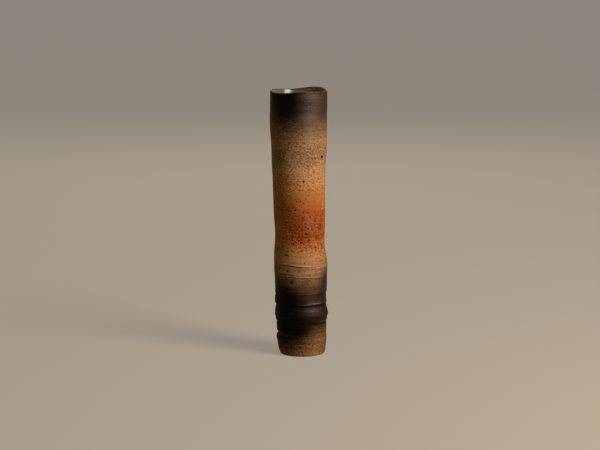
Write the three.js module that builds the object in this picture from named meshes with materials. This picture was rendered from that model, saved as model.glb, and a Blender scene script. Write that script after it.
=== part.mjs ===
// A tall stoneware vase made in courses: a beaten base disc, eight courses of clay set one on
// another and thrown, a bed of slip in every joint, and a liner of glaze poured inside.
// Millimetres, +Z up. The origin is the middle of the resting face, and the front faces -Y.
import * as THREE from "three";

// Height to the top of the lip, midway through its wave
const HEIGHT = 380.8;

// The plain cylinder. Every swell stands proud of it and every groove is set in from it.
const RADIUS = 37;

// Base disc, with a bevelled edge
const BASE_THICKNESS = 13;
const RESTING_INSET = 5;
const BASE_INSET = 2.2;

// Joints between courses: a sloping lap that drops towards the inside, filled with slip
const SLIP_THICKNESS = 0.6;
const LAP_DROP = 3;

// Foot course: swells, then closes to the notch
const FOOT_RISE = 11;
const FOOT_INSET = 1.1;
const NOTCH_RISE = 6.4;
const NOTCH_INSET = 2.3;

// Ledge course: opens from the notch, then closes under the thin step
const LEDGE_RISE = 6.4;
const LEDGE_INSET = 0.9;
const STEP_RISE = 9;
const STEP_INSET = 1.2;

// Lower rib course
const LOWER_RIB_RISE = 11.4;
const LOWER_RIB_PROUD = 0.9;
const LOWER_GROOVE_RISE = 12;
const LOWER_GROOVE_INSET = 0.9;

// Upper rib course
const UPPER_RIB_RISE = 8.6;
const UPPER_RIB_PROUD = 0.1;
const UPPER_GROOVE_RISE = 7.8;
const UPPER_GROOVE_INSET = 0.7;

// Band course, nearly straight
const BAND_RISE = 10.4;
const BAND_PROUD = 0.6;
const LOWER_FOLD_RISE = 15;
const LOWER_FOLD_PROUD = 0.8;

// Fold course, the lapped joint under the thrown tube
const FOLD_RISE = 8.4;
const FOLD_PROUD = 1.3;
const UPPER_FOLD_RISE = 8;
const UPPER_FOLD_PROUD = 1;

// Body tube, from the fold to the collar. Chest, neck and flare share what is left of the height.
const SHOULDER_RISE = 14.4;
const SHOULDER_PROUD = 0.2;
const WAIST_RISE = 23;
const WAIST_INSET = 1.5;
const CHEST_SHARE = 0.24;
const CHEST_INSET = 0.5;
const NECK_SHARE = 0.39;
const NECK_PROUD = 0.2;
const FLARE_SHARE = 1 - CHEST_SHARE - NECK_SHARE;
const FLARE_PROUD = 2.1;
const COLLAR_SEAT_RISE = 21;
const COLLAR_SEAT_PROUD = 2.8;

// Collar, straight up to a round lip
const COLLAR_RISE = 15;
const COLLAR_PROUD = 3.3;
const LIP_RISE = 49.4;
const LIP_PROUD = 3.4;

// Walls thin evenly from the foot to the lip
const FOOT_WALL = 7.5;
const LIP_WALL = 3.6;

// Glaze inside: a thin skin that stops short of the lip and pools on the floor
const GLAZE_THICKNESS = 0.8;
const GLAZE_POOL = 2.5;
const GLAZE_STOP = 2.2;
const POOL_CORNER = 6;

// The hand in it: the axis leans to the left, the mouth is a little oval, and the lip waves
const LEAN = 4.6;
const LEAN_HEIGHT = 180;
const OVAL = 0.4;
const LIP_TILT = 0.7;
const LIP_WAVE = 1.2;
const TILT_HIGHEST = THREE.MathUtils.degToRad(56);
const WAVE_HIGHEST = THREE.MathUtils.degToRad(14);
const WAVES_ROUND = 3;

// Facets round the pot, along one stretch of a wall, and round the lip and the pool's corner
const FACETS = 40;
const STRETCH_FACETS = 3;
const ARC_FACETS = 4;

const TAN_CLAY = new THREE.MeshStandardMaterial({ color: "#b5865a", roughness: 0.8 });
const FLUSHED_CLAY = new THREE.MeshStandardMaterial({ color: "#a8622f", roughness: 0.75 });
const DARK_CLAY = new THREE.MeshStandardMaterial({ color: "#43322a", roughness: 0.55 });
const SLIP = new THREE.MeshStandardMaterial({ color: "#6e4f3a", roughness: 0.85 });
const GLAZE = new THREE.MeshStandardMaterial({ color: "#6b664e", roughness: 0.15 });

// Each course is a stack of stretches, and each stretch ends at its own radius. Its rise is set,
// or is a share of the tube's plain height. The low courses have thick ribs and a plain inside;
// the tube and the collar have an even wall.
const COURSES = [
  {
    name: "foot",
    node: "foot_course",
    material: TAN_CLAY,
    stretches: [
      { rise: FOOT_RISE, radius: RADIUS - FOOT_INSET },
      { rise: NOTCH_RISE, radius: RADIUS - NOTCH_INSET },
    ],
  },
  {
    name: "ledge",
    node: "ledge_course",
    material: DARK_CLAY,
    stretches: [
      { rise: LEDGE_RISE, radius: RADIUS - LEDGE_INSET },
      { rise: STEP_RISE, radius: RADIUS - STEP_INSET },
    ],
  },
  {
    name: "lower_rib",
    node: "lower_rib_course",
    material: DARK_CLAY,
    stretches: [
      { rise: LOWER_RIB_RISE, radius: RADIUS + LOWER_RIB_PROUD },
      { rise: LOWER_GROOVE_RISE, radius: RADIUS - LOWER_GROOVE_INSET },
    ],
  },
  {
    name: "upper_rib",
    node: "upper_rib_course",
    material: DARK_CLAY,
    stretches: [
      { rise: UPPER_RIB_RISE, radius: RADIUS + UPPER_RIB_PROUD },
      { rise: UPPER_GROOVE_RISE, radius: RADIUS - UPPER_GROOVE_INSET },
    ],
  },
  {
    name: "band",
    node: "band_course",
    material: DARK_CLAY,
    stretches: [
      { rise: BAND_RISE, radius: RADIUS + BAND_PROUD },
      { rise: LOWER_FOLD_RISE, radius: RADIUS + LOWER_FOLD_PROUD },
    ],
  },
  {
    name: "fold",
    node: "fold_course",
    material: TAN_CLAY,
    stretches: [
      { rise: FOLD_RISE, radius: RADIUS + FOLD_PROUD },
      { rise: UPPER_FOLD_RISE, radius: RADIUS + UPPER_FOLD_PROUD },
    ],
  },
  {
    name: "body",
    node: "body_tube",
    material: FLUSHED_CLAY,
    evenWall: true,
    stretches: [
      { rise: SHOULDER_RISE, radius: RADIUS + SHOULDER_PROUD },
      { rise: WAIST_RISE, radius: RADIUS - WAIST_INSET },
      { share: CHEST_SHARE, radius: RADIUS - CHEST_INSET },
      { share: NECK_SHARE, radius: RADIUS + NECK_PROUD },
      { share: FLARE_SHARE, radius: RADIUS + FLARE_PROUD },
      { rise: COLLAR_SEAT_RISE, radius: RADIUS + COLLAR_SEAT_PROUD },
    ],
  },
  {
    name: "collar",
    node: "collar",
    material: DARK_CLAY,
    evenWall: true,
    stretches: [
      { rise: COLLAR_RISE, radius: RADIUS + COLLAR_PROUD },
      { rise: LIP_RISE, radius: RADIUS + LIP_PROUD },
    ],
  },
];

const BASE_RADIUS = RADIUS - BASE_INSET;
const LIP_RADIUS = RADIUS + LIP_PROUD;

const point = (radius, height) => new THREE.Vector2(radius, height);

const sum = (numbers) => numbers.reduce((total, number) => total + number, 0);

const LIP_HEIGHT = HEIGHT - LIP_WALL / 2;
const SLIP_RISE = COURSES.length * SLIP_THICKNESS;
const SET_RISE = sum(COURSES.flatMap(({ stretches }) => stretches.map(({ rise = 0 }) => rise)));
const PLAIN_RISE = LIP_HEIGHT - BASE_THICKNESS - SLIP_RISE - SET_RISE;
const COLLAR_FOOT = LIP_HEIGHT - sum(COURSES.at(-1).stretches.map(({ rise }) => rise));

function wallAt(height) {
  return THREE.MathUtils.mapLinear(height, BASE_THICKNESS, LIP_HEIGHT, FOOT_WALL, LIP_WALL);
}

/** Points of one stretch after its start, easing from one radius to the next. */
function stretchPoints(start, { rise, share, radius }) {
  const height = rise ?? share * PLAIN_RISE;
  const points = [];
  for (let step = 1; step <= STRETCH_FACETS; step += 1) {
    const along = step / STRETCH_FACETS;
    const eased = (1 - Math.cos(Math.PI * along)) / 2;
    const across = THREE.MathUtils.lerp(start.x, radius, eased);
    points.push(point(across, start.y + height * along));
  }
  return points;
}

/** Half circle over the lip, from the outside to the inside. */
function lipPoints() {
  const half = LIP_WALL / 2;
  const points = [];
  for (let step = 1; step < ARC_FACETS; step += 1) {
    const angle = (Math.PI * step) / ARC_FACETS;
    const across = LIP_RADIUS - half + half * Math.cos(angle);
    points.push(point(across, LIP_HEIGHT + half * Math.sin(angle)));
  }
  return points;
}

/** Stacks the courses on the base disc: the outside, the inside and the seat of each, bottom up. */
function stackCourses() {
  let below = point(BASE_RADIUS, BASE_THICKNESS);
  let drop = 0;
  const stacked = [];
  for (const course of COURSES) {
    const seat = point(below.x, below.y + SLIP_THICKNESS);
    const jointBore = below.x - wallAt(below.y);
    const innerBelow = point(jointBore, below.y - drop);
    const innerSeat = point(jointBore, seat.y - drop);
    const bed = [innerBelow, below, seat, innerSeat];
    const outside = [seat];
    const inside = [innerSeat];
    course.stretches.forEach((stretch, index) => {
      outside.push(...stretchPoints(outside.at(-1), stretch));
      const top = outside.at(-1);
      if (course.evenWall && index < course.stretches.length - 1) {
        inside.push(point(top.x - wallAt(top.y), top.y));
      }
    });
    below = outside.at(-1);
    drop = LAP_DROP;
    const bore = below.x - wallAt(below.y);
    if (course === COURSES.at(-1)) {
      inside.push(point(bore, below.y - GLAZE_STOP), point(bore, below.y));
      outside.push(...lipPoints());
    } else {
      inside.push(point(bore, below.y - drop));
    }
    stacked.push({ course, bed, outside, inside });
  }
  return stacked;
}

/** Moves a turned point as the maker's hand left it. Points that touch stay together. */
function shapeByHand(vertex) {
  const angle = Math.atan2(vertex.x, -vertex.y);
  const overCollar = THREE.MathUtils.smoothstep(vertex.z, COLLAR_FOOT, LIP_HEIGHT);
  const tilt = LIP_TILT * Math.cos(angle - TILT_HIGHEST);
  const wave = LIP_WAVE * Math.cos(WAVES_ROUND * (angle - WAVE_HIGHEST));
  const lean = LEAN * (1 - Math.exp(-((vertex.z / LEAN_HEIGHT) ** 2)));
  const oval = (OVAL / LIP_RADIUS) * THREE.MathUtils.smoothstep(vertex.z, 0, LIP_HEIGHT);
  vertex.x = vertex.x * (1 + oval) - lean;
  vertex.y *= 1 - oval;
  vertex.z += overCollar * (tilt + wave);
}

/** Triangles of a turned outline, with every quad split the same way seen from either side. */
function matchedFaces(outline) {
  const count = outline.length;
  const faces = [];
  for (let facet = 0; facet < FACETS; facet += 1) {
    for (let step = 0; step < count - 1; step += 1) {
      const here = facet * count + step;
      const next = here + count;
      if (outline[step].x === 0) {
        faces.push(next + 1, here + 1, next);
      } else if (outline[step + 1].x === 0) {
        faces.push(here, next, here + 1);
      } else if (outline[step + 1].y >= outline[step].y) {
        faces.push(here, next, here + 1, next + 1, here + 1, next);
      } else {
        faces.push(here, next, next + 1, here, next + 1, here + 1);
      }
    }
  }
  return faces;
}

/** Turns an outline round the axis, stands it up along +Z and shapes it by hand. */
function thrown(name, outline, material) {
  const geometry = new THREE.LatheGeometry(outline, FACETS);
  geometry.setIndex(matchedFaces(outline));
  geometry.rotateX(Math.PI / 2);
  const positions = geometry.getAttribute("position");
  const vertex = new THREE.Vector3();
  for (let index = 0; index < positions.count; index += 1) {
    vertex.fromBufferAttribute(positions, index);
    shapeByHand(vertex);
    positions.setXYZ(index, vertex.x, vertex.y, vertex.z);
  }
  geometry.computeVertexNormals();
  const mesh = new THREE.Mesh(geometry, material);
  mesh.name = name;
  return mesh;
}

function closed(outline) {
  return [...outline, outline[0]];
}

function baseDisc() {
  const bottom = point(RADIUS - RESTING_INSET, 0);
  const edge = stretchPoints(bottom, { rise: BASE_THICKNESS, radius: BASE_RADIUS });
  return thrown("base_disc", [point(0, 0), bottom, ...edge, point(0, BASE_THICKNESS)], TAN_CLAY);
}

function slipBed({ course, bed }) {
  return thrown(`slip_${course.name}`, closed(bed), SLIP);
}

function clayCourse({ course, outside, inside }) {
  const [innerSeat, ...bore] = inside;
  const outline = closed([innerSeat, ...outside, ...bore.toReversed()]);
  return thrown(course.node, outline, course.material);
}

/** The glaze fills the inside of every course and bed up to its stop, and pools on the disc. */
function glazeLiner(stacked) {
  const backing = stacked.flatMap(({ bed: [innerBelow], inside }) => [
    innerBelow,
    ...inside.slice(0, -1),
  ]);
  const floor = BASE_THICKNESS + GLAZE_POOL;
  const skin = backing
    .filter((spot) => spot.y > floor + POOL_CORNER)
    .map((spot) => point(spot.x - GLAZE_THICKNESS, spot.y));
  const corner = [];
  const across = backing[0].x - GLAZE_THICKNESS - POOL_CORNER;
  for (let step = 0; step <= ARC_FACETS; step += 1) {
    const angle = (Math.PI / 2) * (step / ARC_FACETS);
    const reach = POOL_CORNER * Math.cos(angle);
    corner.push(point(across + reach, floor + POOL_CORNER * (1 - Math.sin(angle))));
  }
  const outline = [
    point(0, BASE_THICKNESS),
    ...backing,
    ...skin.toReversed(),
    ...corner,
    point(0, floor),
  ];
  return thrown("glaze_liner", outline, GLAZE);
}

const stacked = stackCourses();

const clay = new THREE.Group();
clay.name = "clay";
clay.add(baseDisc(), ...stacked.map(clayCourse));

const slip = new THREE.Group();
slip.name = "slip";
slip.add(...stacked.map(slipBed));

const vase = new THREE.Group();
vase.name = "stoneware_vase";
vase.add(clay, slip, glazeLiner(stacked));

export default vase;
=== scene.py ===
"""A tall hand-thrown stoneware vase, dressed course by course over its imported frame.

Shapes are in millimetres. Angles are in degrees from the front of the vase and grow to the right.
"""

import logging
import math
from dataclasses import dataclass, field
from enum import Enum
from typing import ClassVar

import bpy
import numpy as np
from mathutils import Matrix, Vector


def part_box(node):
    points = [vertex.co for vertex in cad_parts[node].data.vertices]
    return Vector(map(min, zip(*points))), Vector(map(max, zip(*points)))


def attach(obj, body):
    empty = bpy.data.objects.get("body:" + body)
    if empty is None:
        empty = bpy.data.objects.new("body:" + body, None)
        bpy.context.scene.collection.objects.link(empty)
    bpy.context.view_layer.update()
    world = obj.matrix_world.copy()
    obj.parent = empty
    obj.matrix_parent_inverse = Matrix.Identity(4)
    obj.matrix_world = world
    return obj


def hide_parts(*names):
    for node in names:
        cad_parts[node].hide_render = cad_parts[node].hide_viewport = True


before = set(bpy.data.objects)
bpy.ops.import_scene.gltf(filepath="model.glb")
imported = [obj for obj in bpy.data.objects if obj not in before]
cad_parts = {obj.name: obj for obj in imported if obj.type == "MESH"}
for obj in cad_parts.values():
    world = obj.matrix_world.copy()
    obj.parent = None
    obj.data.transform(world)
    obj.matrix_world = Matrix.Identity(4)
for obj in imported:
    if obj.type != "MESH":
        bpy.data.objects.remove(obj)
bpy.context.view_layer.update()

MM = 0.001
TURN = 2.0 * math.pi
BODY = "root"
FULL_TONE = 255.0
TOE_END = 0.04045
TOE_SLOPE = 12.92
SHOULDER = 0.055
SHOULDER_POWER = 2.4

Colour = tuple[float, float, float, float]
Point = tuple[float, float]
Range = tuple[float, float]
Marks = dict[str, np.ndarray]

WHITE: Colour = (1.0, 1.0, 1.0, 1.0)

log = logging.getLogger("vase")


class Slot(Enum):
    """The record's material slots."""

    TAN = "tan_clay"
    DARK = "dark_clay"
    FLUSHED = "flushed_clay"
    SLIP = "slip"
    GLAZE = "liner_glaze"


class Ends(Enum):
    """How a skin of rings closes: the last ring joins the first, or both end in a point on the axis."""

    LOOP = "loop"
    POLES = "poles"


def shade(red: int, green: int, blue: int) -> Colour:
    """Turn an eye-matched colour (0 to 255) into the linear colour that a shader takes.

    Args:
        red: Red, as it looks on a screen.
        green: Green, likewise.
        blue: Blue, likewise.

    Returns:
        The linear colour with full alpha.
    """
    linear = []
    for tone in (red, green, blue):
        part = tone / FULL_TONE
        curved = ((part + SHOULDER) / (1.0 + SHOULDER)) ** SHOULDER_POWER
        linear.append(part / TOE_SLOPE if part <= TOE_END else curved)
    return (*linear, 1.0)


def flowing_curve(places: np.ndarray, points: tuple[Point, ...]) -> np.ndarray:
    """Follow a smooth curve that passes through points and never swings past them.

    Args:
        places: Where the curve is wanted.
        points: Place and value pairs, in rising order of place.

    Returns:
        The curve's values.
    """
    stops, values = np.array(points, float).T
    steps = np.diff(stops)
    slopes = np.diff(values) / steps
    before, after = slopes[:-1], slopes[1:]
    turning = before * after <= 0.0
    total = np.where(turning, 1.0, before + after)
    middle = np.where(turning, 0.0, 2.0 * before * after / total)
    tangents = np.concatenate(([slopes[0]], middle, [slopes[-1]]))
    index = np.clip(np.searchsorted(stops, places) - 1, 0, len(steps) - 1)
    part = np.clip((places - stops[index]) / steps[index], 0.0, 1.0)
    start = (1.0 + 2.0 * part) * (1.0 - part) ** 2 * values[index]
    leave = part * (1.0 - part) ** 2 * steps[index] * tangents[index]
    end = part**2 * (3.0 - 2.0 * part) * values[index + 1]
    arrive = part**2 * (part - 1.0) * steps[index] * tangents[index + 1]
    return start + leave + end + arrive


def eased(value: np.ndarray, low: float, high: float) -> np.ndarray:
    """Rise smoothly from 0 at low to 1 at high, which may be the smaller."""
    part = np.clip((value - low) / (high - low), 0.0, 1.0)
    return part * part * (3.0 - 2.0 * part)


def away_from(angle: np.ndarray, degrees: float) -> np.ndarray:
    """Turn from the side at that many degrees, in radians, the short way round."""
    return np.angle(np.exp(1j * (angle - math.radians(degrees))))


def stand(name: str, data: bpy.types.ID) -> bpy.types.Object:
    """Put a mesh, light or camera into the scene.

    Args:
        name: The object's name.
        data: What it shows.

    Returns:
        The linked object.
    """
    made = bpy.data.objects.new(name, data)
    bpy.context.scene.collection.objects.link(made)
    return made


@dataclass(frozen=True)
class Joint:
    """How a joint runs round the vase: lifted, and tilted up towards one side."""

    level: float
    lift: float
    tilt: float
    towards: float

    def rise(self, angle: np.ndarray) -> np.ndarray:
        """Height of the joint over its level, for angles in radians."""
        return self.lift + self.tilt * np.cos(angle - math.radians(self.towards))


@dataclass(frozen=True)
class Crease:
    """A line worked into wet clay: the clay above it swells out and lips over a hollow below.

    It wavers in long and short waves and was pressed harder on two sides. One with a spread runs only about
    that many degrees each way from its centre.
    """

    level: float
    swell: float
    above: float
    hollow: float
    below: float
    tilt: float = 0.0
    towards: float = 0.0
    centre: float = 0.0
    spread: float = 0.0
    waver: float = 0.35
    edge: float = 0.3
    LAG: ClassVar[float] = 1.7
    LONG_WAVES: ClassVar[int] = 3
    SHORT_WAVES: ClassVar[int] = 7
    PRESSES: ClassVar[int] = 2
    PRESS: ClassVar[float] = 0.18

    def relief(self, angle: np.ndarray, level: np.ndarray) -> np.ndarray:
        """How far the clay stands out along the line.

        Args:
            angle: Angles in radians, in a row.
            level: Levels in millimetres, in a column.

        Returns:
            Outward distance, one row for each level.
        """
        phase = self.level * self.LAG
        run = self.level + self.tilt * np.cos(angle - math.radians(self.towards))
        run = run + self.waver * np.sin(self.LONG_WAVES * angle + phase)
        run = run + 0.5 * self.waver * np.sin(self.SHORT_WAVES * angle + 2.0 * phase)
        height = level - run
        over = 0.5 + 0.5 * np.tanh(height / self.edge)
        out = over * self.swell * np.exp(-np.maximum(height, 0.0) / self.above)
        sunk = (1.0 - over) * self.hollow * np.exp(-np.maximum(-height, 0.0) / self.below)
        strength = 1.0 - self.PRESS + self.PRESS * np.sin(self.PRESSES * angle + phase)
        if self.spread:
            away = away_from(angle, self.centre) / math.radians(self.spread)
            strength = strength * np.exp(-(away**4))
        return strength * (out - sunk)


@dataclass(frozen=True)
class Mark:
    """A small spot on the wall: angle and level, half its width and half its height, and its depth."""

    angle: float
    level: float
    across: float
    tall: float
    depth: float
    REACH: ClassVar[float] = 3.0

    def distance(self, angle: np.ndarray, level: np.ndarray, radius: float) -> np.ndarray:
        """Distance from the spot's middle, 1 at its edge, on a wall of that radius."""
        away = away_from(angle, self.angle) * radius
        return np.hypot(away / self.across, (level - self.level) / self.tall)

    def press(self, relief: np.ndarray, angle: np.ndarray, level: np.ndarray, radius: float) -> None:
        """Press the spot into a relief as a hollow with a clear edge.

        Args:
            relief: The relief, one row for each level, which is changed.
            angle: Angles in radians, in a row.
            level: Levels in millimetres, in a column.
            radius: The wall's radius.
        """
        rows = np.abs(level[:, 0] - self.level) < self.REACH * self.tall
        relief[rows] -= self.depth * np.exp(-(self.distance(angle, level[rows], radius) ** 4))


@dataclass(frozen=True)
class HandMarks:
    """The seeded unevenness of thrown clay: a slow wobble, throwing lines and torn grit at the foot.

    The presses are stretches where the lines run deeper: their level, their spread and how much is added.
    """

    seed: int = 11
    wobbles: int = 16
    wobble: float = 0.075
    wobble_counts: tuple[int, int] = (1, 6)
    wobble_lengths: Range = (35.0, 150.0)
    line_gap: float = 2.3
    line_gaps: Range = (0.5, 1.6)
    line_depth: float = 0.15
    line_depths: Range = (-1.0, 0.55)
    line_width: float = 0.8
    line_widths: Range = (0.8, 1.9)
    line_tilts: Range = (0.1, 0.7)
    line_reach: float = 6.4
    line_mean: float = 0.55
    line_fade: float = 1.5
    presses: tuple[tuple[float, float, float], ...] = ((80.0, 28.0, 1.0), (350.0, 36.0, 0.7))
    grit: int = 130
    grit_top: float = 21.0
    grit_heap: Range = (1.6, 1.3)
    grit_sizes: Range = (0.6, 1.5)
    grit_widths: Range = (1.0, 2.2)
    grit_height: float = 0.7
    grit_depth: float = 0.42
    grit_depths: Range = (0.3, 1.0)

    def slow_wobble(self, angle: np.ndarray, level: np.ndarray) -> np.ndarray:
        """Broad dents and swells.

        Args:
            angle: Angles in radians, in a row.
            level: Levels in millimetres, in a column.

        Returns:
            Outward distance, one row for each level.
        """
        draw = np.random.default_rng(self.seed)
        total = np.zeros((level.size, angle.size))
        for _ in range(self.wobbles):
            count = draw.integers(*self.wobble_counts)
            length = draw.uniform(*self.wobble_lengths)
            phase = draw.uniform(0.0, TURN)
            total += self.wobble * np.cos(count * angle + TURN * level / length + phase)
        return total

    def pressed(self, level: float) -> float:
        """How much deeper than elsewhere the lines run at a level: most on the ribs and the collar."""
        deeper = (more * math.exp(-(((level - at) / spread) ** 2)) for at, spread, more in self.presses)
        return 1.0 + sum(deeper)

    def throwing_lines(self, angle: np.ndarray, level: np.ndarray, top: float) -> np.ndarray:
        """Fine grooves and ridges left by fingers.

        Args:
            angle: Angles in radians, in a row.
            level: Levels in millimetres, in a column.
            top: The level where the lines end.

        Returns:
            Outward distance of the lines, one row for each level.
        """
        draw = np.random.default_rng(self.seed + 1)
        total = np.zeros((level.size, angle.size))
        height = self.line_gap
        while height < top:
            depth = self.line_depth * self.pressed(height) * draw.uniform(*self.line_depths)
            width = self.line_width * draw.uniform(*self.line_widths)
            strongest, lean = draw.uniform(0.0, TURN, 2)
            run = height + draw.uniform(*self.line_tilts) * np.cos(angle - lean)
            fade = self.line_mean + (1.0 - self.line_mean) * np.cos(angle - strongest)
            rows = np.abs(level[:, 0] - height) < self.line_reach
            line = np.exp(-(((level[rows] - run) / width) ** 2))
            total[rows] += depth * fade**self.line_fade * line
            height += self.line_gap * draw.uniform(*self.line_gaps)
        return total

    def foot_grit(self, angle: np.ndarray, level: np.ndarray, radius: float) -> np.ndarray:
        """Small torn hollows near the foot.

        Args:
            angle: Angles in radians, in a row.
            level: Levels in millimetres, in a column.
            radius: The wall's radius.

        Returns:
            Outward distance, one row for each level.
        """
        draw = np.random.default_rng(self.seed + 2)
        total = np.zeros((level.size, angle.size))
        for _ in range(self.grit):
            size = draw.uniform(*self.grit_sizes)
            torn = Mark(
                draw.uniform(-180.0, 180.0),
                self.grit_top * draw.beta(*self.grit_heap),
                size * draw.uniform(*self.grit_widths),
                size * self.grit_height,
                self.grit_depth * draw.uniform(*self.grit_depths),
            )
            torn.press(total, angle, level, radius)
        return total


@dataclass
class VaseForm:
    """The surface that every piece of the vase is cut from.

    A level is the height that a point would have if all joints ran level. Joints that run up and down
    carry the clay around them along.
    """

    outline: tuple[Point, ...]
    creases: tuple[Crease, ...]
    swells: tuple[Mark, ...]
    pits: tuple[Mark, ...]
    iron_spots: tuple[Mark, ...]
    joints: tuple[Joint, ...]
    hand: HandMarks = field(default_factory=HandMarks)
    radius: float = 37.0
    base_top: float = 13.0
    lip: float = 379.0
    foot_wall: float = 7.5
    lip_wall: float = 3.6
    lip_start: float = 314.6
    lip_tilt: float = 0.5
    lip_tilt_side: float = 85.0
    lip_peak: float = 1.1
    lip_peak_side: float = 142.0
    lip_peak_spread: float = 38.0
    lip_wave: float = 1.2
    lip_wave_side: float = 14.0
    lip_waves: int = 3
    lean: float = 4.6
    lean_height: float = 180.0
    oval: float = 0.01
    smooth_sole: Range = (0.3, 2.0)
    smooth_foot: Range = (0.0, 12.0)

    def plain_radius(self, level: np.ndarray) -> np.ndarray:
        """Outside radius of the wall before it is worked by hand."""
        return self.radius + flowing_curve(level, self.outline)

    def wall(self, level: np.ndarray) -> np.ndarray:
        """Thickness of the wall, which thins towards the lip."""
        part = np.clip((level - self.base_top) / (self.lip - self.base_top), 0.0, 1.0)
        return self.foot_wall + (self.lip_wall - self.foot_wall) * part

    def bore(self, level: np.ndarray) -> np.ndarray:
        """Inside radius of the wall, up over the rounded inner edge of the lip.

        Args:
            level: Levels in millimetres.

        Returns:
            Radii of the same shape.
        """
        half = self.lip_wall / 2.0
        over = np.clip(level - self.lip, 0.0, half)
        return self.plain_radius(level) - self.wall(level) + half - np.sqrt(half**2 - over**2)

    def worked(self, angle: np.ndarray, level: np.ndarray) -> np.ndarray:
        """Relief of the creases, pits and torn grit alone.

        Args:
            angle: Angles in radians, in a row.
            level: Levels in millimetres, in a column.

        Returns:
            Outward distance, one row for each level.
        """
        total = self.hand.foot_grit(angle, level, self.radius) * eased(level, *self.smooth_sole)
        for crease in self.creases:
            total += crease.relief(angle, level)
        for pit in self.pits:
            pit.press(total, angle, level, self.radius)
        return total

    def outside(self, angle: np.ndarray, level: np.ndarray) -> np.ndarray:
        """Outside radius with everything that hands, fire and wear left on it.

        Args:
            angle: Angles in radians, in a row.
            level: Levels in millimetres, in a column.

        Returns:
            Radii, one row for each level.
        """
        total = self.plain_radius(level) + self.worked(angle, level)
        quiet = eased(level, *self.smooth_foot)
        total = total + quiet * self.hand.slow_wobble(angle, level)
        total = total + quiet * self.hand.throwing_lines(angle, level, self.lip)
        for swell in self.swells:
            total = total + swell.depth * np.exp(-(swell.distance(angle, level, self.radius) ** 2))
        for spot in self.iron_spots:
            spot.press(total, angle, level, self.radius)
        return total

    def iron(self, angle: np.ndarray, level: np.ndarray) -> np.ndarray:
        """How near a melted iron spot lies.

        Args:
            angle: Angles in radians, in a row.
            level: Levels in millimetres, in a column.

        Returns:
            1 in the middle of a spot, a half at its edge and 0 well away, one row for each level.
        """
        near = np.zeros((level.size, angle.size))
        for spot in self.iron_spots:
            near = np.maximum(near, 1.0 - 0.5 * spot.distance(angle, level, self.radius))
        return near

    def lip_rise(self, angle: np.ndarray) -> np.ndarray:
        """How far the lip stands above or below its level: a tilt, a wave and a peak.

        Args:
            angle: Angles in radians.

        Returns:
            Heights in millimetres.
        """
        tilt = self.lip_tilt * np.cos(angle - math.radians(self.lip_tilt_side))
        wave = self.lip_wave * np.cos(self.lip_waves * (angle - math.radians(self.lip_wave_side)))
        away = away_from(angle, self.lip_peak_side) / math.radians(self.lip_peak_spread)
        return tilt + wave + self.lip_peak * np.exp(-(away**2))

    def place(self, angle: np.ndarray, radius: np.ndarray, level: np.ndarray) -> np.ndarray:
        """Set points in the frame, with the hand-made lean, oval, joints and lip.

        Args:
            angle: Angles in radians.
            radius: Radii in millimetres.
            level: Levels in millimetres.

        Returns:
            Points in metres, with x, y and z in the last axis.
        """
        radius, level, angle = np.broadcast_arrays(radius, level, angle)
        height = level.astype(float).copy()
        for low, high in zip(self.joints[:-1], self.joints[1:]):
            part = np.clip((level - low.level) / (high.level - low.level), 0.0, 1.0)
            inside = (level > low.level) & (level <= high.level)
            start, end = low.rise(angle), high.rise(angle)
            height = height + np.where(inside, start + (end - start) * part, 0.0)
        height = height + eased(level, self.lip_start, self.lip) * self.lip_rise(angle)
        oval = self.oval * eased(level, 0.0, self.lip)
        lean = self.lean * (1.0 - np.exp(-((level / self.lean_height) ** 2)))
        x = radius * np.sin(angle) * (1.0 + oval) - lean
        y = -radius * np.cos(angle) * (1.0 - oval)
        return np.stack([x, y, height], axis=-1) * MM


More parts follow.
